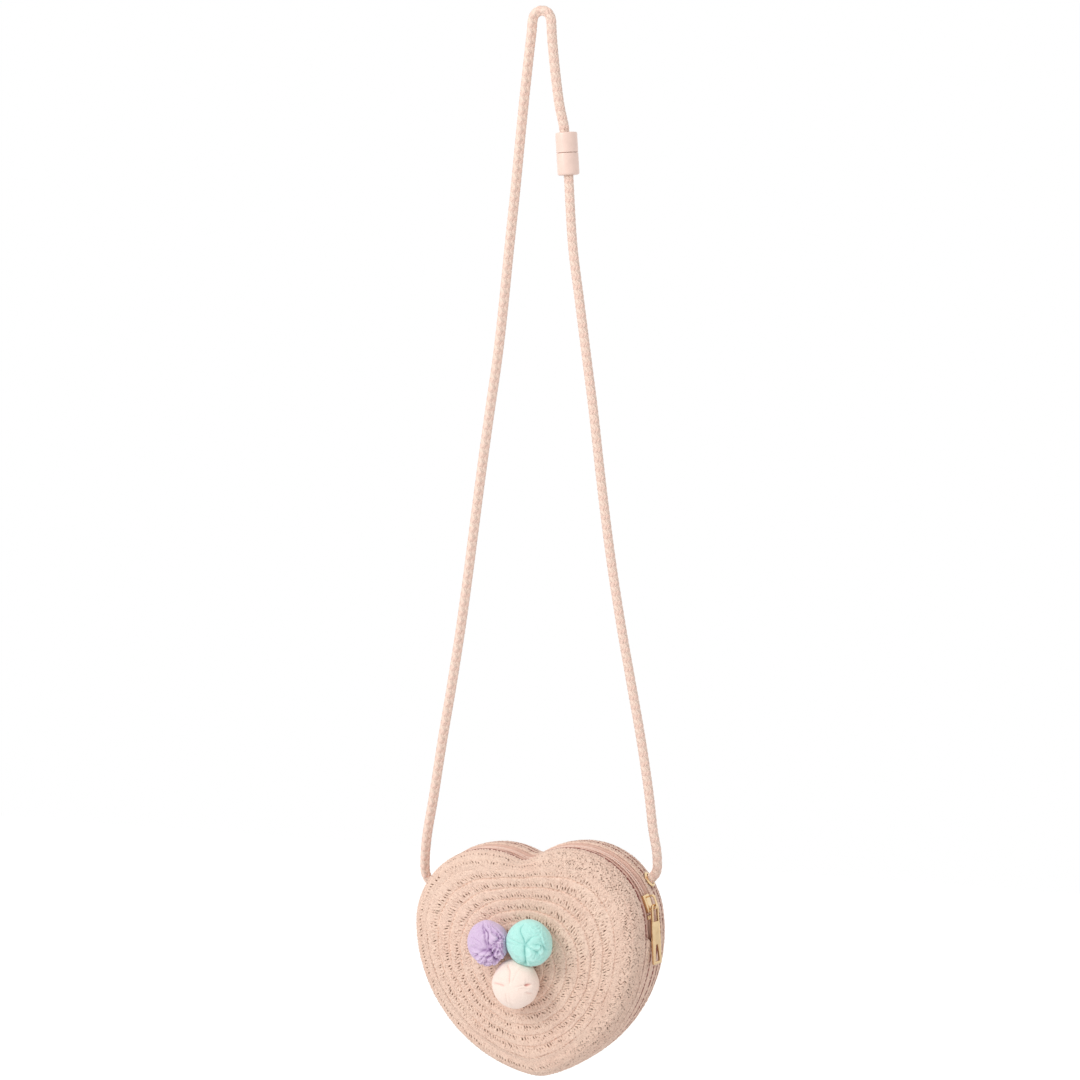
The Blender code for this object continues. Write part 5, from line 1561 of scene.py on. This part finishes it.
class MakeStrap(bpy.types.Operator):
    """Makes the braided rope, its knots and the two halves of the clasp"""

    bl_idname = "straw_bag.make_strap"
    bl_label = "Rope strap and clasp"

    def execute(self, context):
        strap = context.scene.strap_sizes
        finish = rope_finish(strap)
        clasp = clasp_frame()
        ropes = []
        for name, node, route in zip(
            ("rope_upper", "rope_lower"), ("strap_rope", "strap_rope_lower"), strap_routes()
        ):
            grid, line, length = braided_rope(smooth_route(route, ROUTE_SPACING), strap)
            piece = grid_piece(name, grid, finish, None, "rope", node)
            path = line[np.linspace(0, len(line) - 1, CORD_PATH_POINTS).astype(int)]
            ropes.append((piece, line[0], length, path))
        (upper, *_), (lower, *_) = ropes
        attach(upper, "bag_and_strap")
        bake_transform(lower)
        self.make_knots(finish, clasp)
        self.make_clasp(strap, clasp)
        return {"FINISHED"}

    def make_knots(self, finish, clasp):
        """The knots of the cord's ends: two inside the bag and one inside each half of the clasp."""
        top = -ROPE_INSIDE - LAYER_GAP
        for name, side in (("left", -1), ("right", 1)):
            lump = knot_lump(eyelet_frame(side), top, KNOT_DIAMETER, KNOT_LENGTH)
            grid_piece("end_knot_" + name, lump, finish, BAG_BODY, "rope", "strap_knot_" + name)
        wall = CLASP_DIAMETER / 2 - CLASP_WALL - LAYER_GAP
        ceiling = CLASP_UPPER - CLASP_FLOOR - LAYER_GAP
        floor = CLASP_FLOOR - CLASP_LOWER + LAYER_GAP + CLASP_KNOT_LENGTH
        for name, body, height, radius in (
            ("upper", BAG_BODY, ceiling, wall),
            ("lower", "clasp_lower_half", floor, wall - CLASP_WALL),
        ):
            lump = knot_lump(clasp, height, 2 * radius, CLASP_KNOT_LENGTH)
            grid_piece("inner_knot_" + name, lump, finish, body, "rope", "clasp_knot_" + name)

    def make_clasp(self, strap, clasp):
        """The two halves of the clasp, turned from closed profiles with soft edges.

        The cord enters the socket by a wide mouth and the plug by a close bore. The plug's wall stands up
        inside the socket past the parting line.
        """
        finish = plastic_finish(strap.plastic)
        outer = CLASP_DIAMETER / 2
        cavity = outer - CLASP_WALL
        parting = LAYER_GAP / 2
        mouth, hole = (ROPE_DIAMETER / 2 + gap for gap in (CLASP_MOUTH_CLEARANCE, CLASP_BORE_CLEARANCE))
        ceiling = CLASP_UPPER - CLASP_FLOOR
        socket = (
            ((cavity, parting), 0.0002), ((outer, parting), 0.0005), ((outer, CLASP_UPPER), 0.0016),
            ((mouth, CLASP_UPPER), 0.0006), ((mouth, ceiling), 0.0003), ((cavity, ceiling), 0.0004),
        )
        plug = cavity - LAYER_GAP
        bore = plug - PLUG_WALL
        knot_bore = outer - 2 * CLASP_WALL
        floor = CLASP_FLOOR - CLASP_LOWER
        lower = (
            ((bore, PLUG_FOOT), 0.0002), ((knot_bore, PLUG_FOOT), 0.0003), ((knot_bore, floor), 0.0004),
            ((hole, floor), 0.0003), ((hole, -CLASP_LOWER), 0.0006), ((outer, -CLASP_LOWER), 0.0016),
            ((outer, -parting), 0.0005), ((plug, -parting), 0.0002), ((plug, PLUG_TOP), 0.0004),
            ((bore, PLUG_TOP), 0.0002),
        )
        for name, body, profile in (("socket", BAG_BODY, socket), ("plug", "clasp_lower_half", lower)):
            piece, node = f"clasp_{name}_half", "clasp_" + name
            turned_piece(piece, profile, clasp, 7, 96, finish, body, "clasp_plastic", node)


class MakeZip(bpy.types.Operator):
    """Makes the zip tapes, coils and stitches, and the gold slider, pull, stops and eyelets"""

    bl_idname = "straw_bag.make_zip"
    bl_label = "Zip and gold fittings"

    def execute(self, context):
        zips = context.scene.zip_sizes
        tape = cloth_finish("zip_tape_cloth", zips.tape, 5200, 5200, 0.00012)
        coil = nylon_finish("zip_coil_nylon", zips.coil)
        gold = gold_finish(zips.gold)
        for name, side in (("front", -1), ("rear", 1)):
            strip, helix = tape_strip(side), coil_helix(side, zips)
            grid_piece("woven_tape_" + name, strip, tape, BAG_BODY, "zip_tape", "zip_tape_" + name)
            grid_piece("wound_coil_" + name, helix, coil, BAG_BODY, "zip_coil", "zip_coil_" + name)
            cad_copy("zip_top_stop_" + name, "top_stop_" + name, gold, BAG_BODY, "gold_metal", STOP_BEVEL)
            self.make_stitches(name, side, zips, tape)
        for node, name, body, bevel in (
            ("zip_bottom_stop", "bottom_stop", BAG_BODY, STOP_BEVEL),
            ("slider_body", "slider_plates", "zip_slider", SLIDER_BEVEL),
            ("slider_bail", "slider_loop", "zip_slider", PULL_BEVEL),
            ("pull_tab", "flat_pull", "zip_pull", PULL_BEVEL),
        ):
            cad_copy(node, name, gold, body, "gold_metal", bevel)
        for name, side in (("left", -1), ("right", 1)):
            self.make_eyelet(name, side, gold)
        return {"FINISHED"}

    def make_stitches(self, name, side, zips, finish):
        """The stitches that hold one coil to its tape, evenly along the whole zip."""
        first = LOBE_START + LOBE_RADIUS * ZIP_END_ANGLE
        count = int(2 * (HALF_OUTLINE - first) / zips.stitch_length)
        runs = first + zips.stitch_length * (np.arange(count) + 0.5)
        across = rim_length_at(ZIP_Y + side * (ZIP_CHANNEL / 2 + COIL_WIDTH + STITCH_FROM_COIL))
        length = zips.stitch_length * STITCH_SHARE
        line = stitch_line(runs, across, -(STRAW_WALL + LAYER_GAP), length, STITCH_THICKNESS)
        grid_piece("tape_stitches_" + name, line, finish, BAG_BODY, "zip_tape")

    def make_eyelet(self, name, side, gold):
        """A flanged barrel with a rolled rim, and a flat washer behind the lining."""
        matrix = eyelet_frame(side)
        bore, flange = EYELET_BORE / 2, EYELET_FLANGE / 2
        barrel = bore + EYELET_WALL
        top = LAYER_GAP + EYELET_FLANGE_THICKNESS
        washer_top = -(STRAW_WALL + 2 * LAYER_GAP + TAPE_THICKNESS + LINING_THICKNESS + WASHER_SETBACK)
        low = washer_top - WASHER_THICKNESS
        tail = low - EYELET_TAIL
        ring = (
            ((bore, tail), 0.0001), ((barrel, tail), 0.0001), ((barrel, LAYER_GAP), 0.0001),
            ((flange - 0.0002, LAYER_GAP), 0.0002),
            ((flange, LAYER_GAP + EYELET_FLANGE_THICKNESS * 0.45), 0.0003),
            ((flange - 0.0006, top), 0.0005), ((barrel, top + EYELET_WALL), 0.0006), ((bore, top), 0.0004),
        )
        inner = barrel + LAYER_GAP
        plate = (
            ((inner, washer_top), 0.0002), ((inner, low), 0.0002), ((WASHER_RADIUS, low), 0.0003),
            ((WASHER_RADIUS, washer_top), 0.0003),
        )
        for kind, node, profile, arc_steps, steps in (
            ("rolled_eyelet_", "eyelet_", ring, 6, 96),
            ("flat_washer_", "eyelet_washer_", plate, 5, 72),
        ):
            piece = kind + name
            turned_piece(piece, profile, matrix, arc_steps, steps, gold, BAG_BODY, "gold_metal", node + name)


class MakeLining(bpy.types.Operator):
    """Makes the two halves of the cloth lining"""

    bl_idname = "straw_bag.make_lining"
    bl_label = "Lining"

    def execute(self, context):
        finish = cloth_finish("lining_cotton", LINING_COLOUR, 3600, 3600, 0.00012)
        for name, side in (("front", -1), ("back", 1)):
            half = lining_half(side, 31 if side < 0 else 37)
            grid_piece(f"{name}_lining_cloth", half, finish, BAG_BODY, "lining", name + "_lining")
        return {"FINISHED"}


class MakePompoms(bpy.types.Operator):
    """Makes the three gathered pompoms of tulle"""

    bl_idname = "straw_bag.make_pompoms"
    bl_label = "Tulle pompoms"

    def execute(self, context):
        look = context.scene.pompom_sizes
        middles = [np.add(ball["place"], ball["moved"]) for ball in POMPOMS]
        radii = [ball["radius"] * ball["fullness"] for ball in POMPOMS]
        for ball, middle, radius in zip(POMPOMS, middles, radii):
            neighbours = []
            for other, other_radius in zip(middles, radii):
                if other is not middle:
                    apart = np.linalg.norm(other - middle)
                    neighbours.append((other, apart * radius / (radius + other_radius) - POMPOM_GAP))
            shade = ball["shade"]
            finish = tulle_finish("tulle_" + shade, getattr(look, shade), ball["deep"])
            grid = tulle_ball(ball, middle, radius, look, neighbours)
            piece = grid_piece("gathered_" + shade, grid, finish, BAG_BODY, "tulle_" + shade, ball["node"])
        return {"FINISHED"}


class MakeStage(bpy.types.Operator):
    """Makes the floor, the light and the camera of the photograph"""

    bl_idname = "straw_bag.make_stage"
    bl_label = "Floor, light and camera"

    def execute(self, context):
        scene = context.scene
        look = scene.stage_look
        scene.view_settings.view_transform = "Standard"
        self.make_floor(look)
        self.make_world(scene, look)
        self.make_lamps(look)
        self.make_camera(scene)
        return {"FINISHED"}

    def make_floor(self, look):
        """A wide flat sheet that shines a little, so that it's white to the camera."""
        spots = np.linspace(-FLOOR_REACH, FLOOR_REACH, 9)
        points = stacked(spots[None, :], spots[:, None], FLOOR_HEIGHT)
        mesh = mesh_from_arrays("floor", points, grid_quads(9, 9)[:, ::-1])
        made, tree, shader = new_material("pale_floor", Roughness=0.9)
        grain = noise_at(tree, object_place(tree), 9.0)
        colour = tuple(look.floor)
        darker = shaded(colour, 0.985)
        tree.links.new(mix_colours(tree, grain, colour, darker), shader.inputs["Base Color"])
        seen = add_node(tree, "LightPath").outputs["Is Camera Ray"]
        lift = maths(tree, "MULTIPLY", seen, 0.35)
        shader.inputs["Emission Color"].default_value = WHITE
        tree.links.new(lift, shader.inputs["Emission Strength"])
        mesh.materials.append(made)
        floor = bpy.data.objects.new("floor", mesh)
        bpy.context.scene.collection.objects.link(floor)

    def make_world(self, scene, look):
        """Light from all round, a little warm, that the camera and mirrors see as white."""
        world = scene.world = scene.world or bpy.data.worlds.new("studio")
        world.use_nodes = True
        tree = world.node_tree
        tree.nodes.clear()
        path = add_node(tree, "LightPath").outputs
        seen = maths(tree, "MAXIMUM", path["Is Camera Ray"], path["Is Glossy Ray"])
        seen = maths(tree, "MAXIMUM", seen, path["Is Transmission Ray"])
        fill, white = (
            add_node(tree, "Background", {"Color": colour, "Strength": strength}).outputs[0]
            for colour, strength in ((FILL_COLOUR, look.fill_light), (WHITE, 1.0))
        )
        shown = add_node(tree, "MixShader", {0: seen, 1: fill, 2: white}).outputs[0]
        add_node(tree, "OutputWorld", {"Surface": shown})

    def make_lamps(self, look):
        """A large soft lamp up in front to the left, aimed at the bag."""
        lamp = bpy.data.lights.new("key", "AREA")
        lamp.energy, lamp.shape, lamp.size, lamp.color = look.key_power, "DISK", LAMP_SIZE, LAMP_COLOUR
        holder = bpy.data.objects.new("key", lamp)
        spot, aim = Vector(LAMP_PLACE), Vector(LAMP_AIM)
        holder.location = spot
        holder.rotation_euler = (spot - aim).to_track_quat("Z", "Y").to_euler()
        bpy.context.scene.collection.objects.link(holder)

    def make_camera(self, scene):
        """The camera stands at the photograph's angle, far enough off for its slight perspective."""
        level, up = math.cos(CAMERA_ELEVATION), math.sin(CAMERA_ELEVATION)
        back = np.array([math.sin(CAMERA_AZIMUTH) * level, -math.cos(CAMERA_AZIMUTH) * level, up])
        data = bpy.data.cameras.new("photo_camera")
        data.sensor_width = SENSOR_WIDTH
        data.lens = SENSOR_WIDTH * CAMERA_DISTANCE / FRAME_WIDTH
        data.clip_start, data.clip_end = 0.05, 50.0
        camera = bpy.data.objects.new("photo_camera", data)
        camera.location = Vector(CAMERA_TARGET + back * CAMERA_DISTANCE)
        camera.rotation_euler = Vector(-back).to_track_quat("-Z", "Y").to_euler()
        scene.collection.objects.link(camera)
        scene.camera = camera


OPERATORS = (MakeStage, MakeStrap, MakeStraw, MakeLining, MakeZip, MakePompoms)


class StrawBagPanel(bpy.types.Panel):
    """Lists the bag's pieces with the sizes and colours that they are made from"""

    bl_idname = "VIEW3D_PT_straw_bag"
    bl_label = "Straw bag"
    bl_space_type = "VIEW_3D"
    bl_region_type = "UI"
    bl_category = "Straw bag"

    def draw(self, context):
        scene = context.scene
        for operator in OPERATORS:
            self.layout.operator(operator.bl_idname)
        for group, _ in GROUPS:
            look, box = getattr(scene, group), self.layout.box()
            for key in look.__annotations__:
                box.prop(look, key)


GROUPS = (
    ("straw_sizes", StrawSizes),
    ("strap_sizes", StrapSizes),
    ("zip_sizes", ZipSizes),
    ("pompom_sizes", PompomSizes),
    ("stage_look", StageLook),
)


def register():
    for group in (*(group for _, group in GROUPS), *OPERATORS, StrawBagPanel):
        bpy.utils.register_class(group)
    for name, group in GROUPS:
        setattr(bpy.types.Scene, name, PointerProperty(type=group))


def unregister():
    for name, _ in GROUPS:
        delattr(bpy.types.Scene, name)
    for group in reversed((*(group for _, group in GROUPS), *OPERATORS, StrawBagPanel)):
        bpy.utils.unregister_class(group)


def main():
    register()
    for operator in OPERATORS:
        group, _, name = operator.bl_idname.partition(".")
        getattr(getattr(bpy.ops, group), name)()


if __name__ == "__main__":
    main()
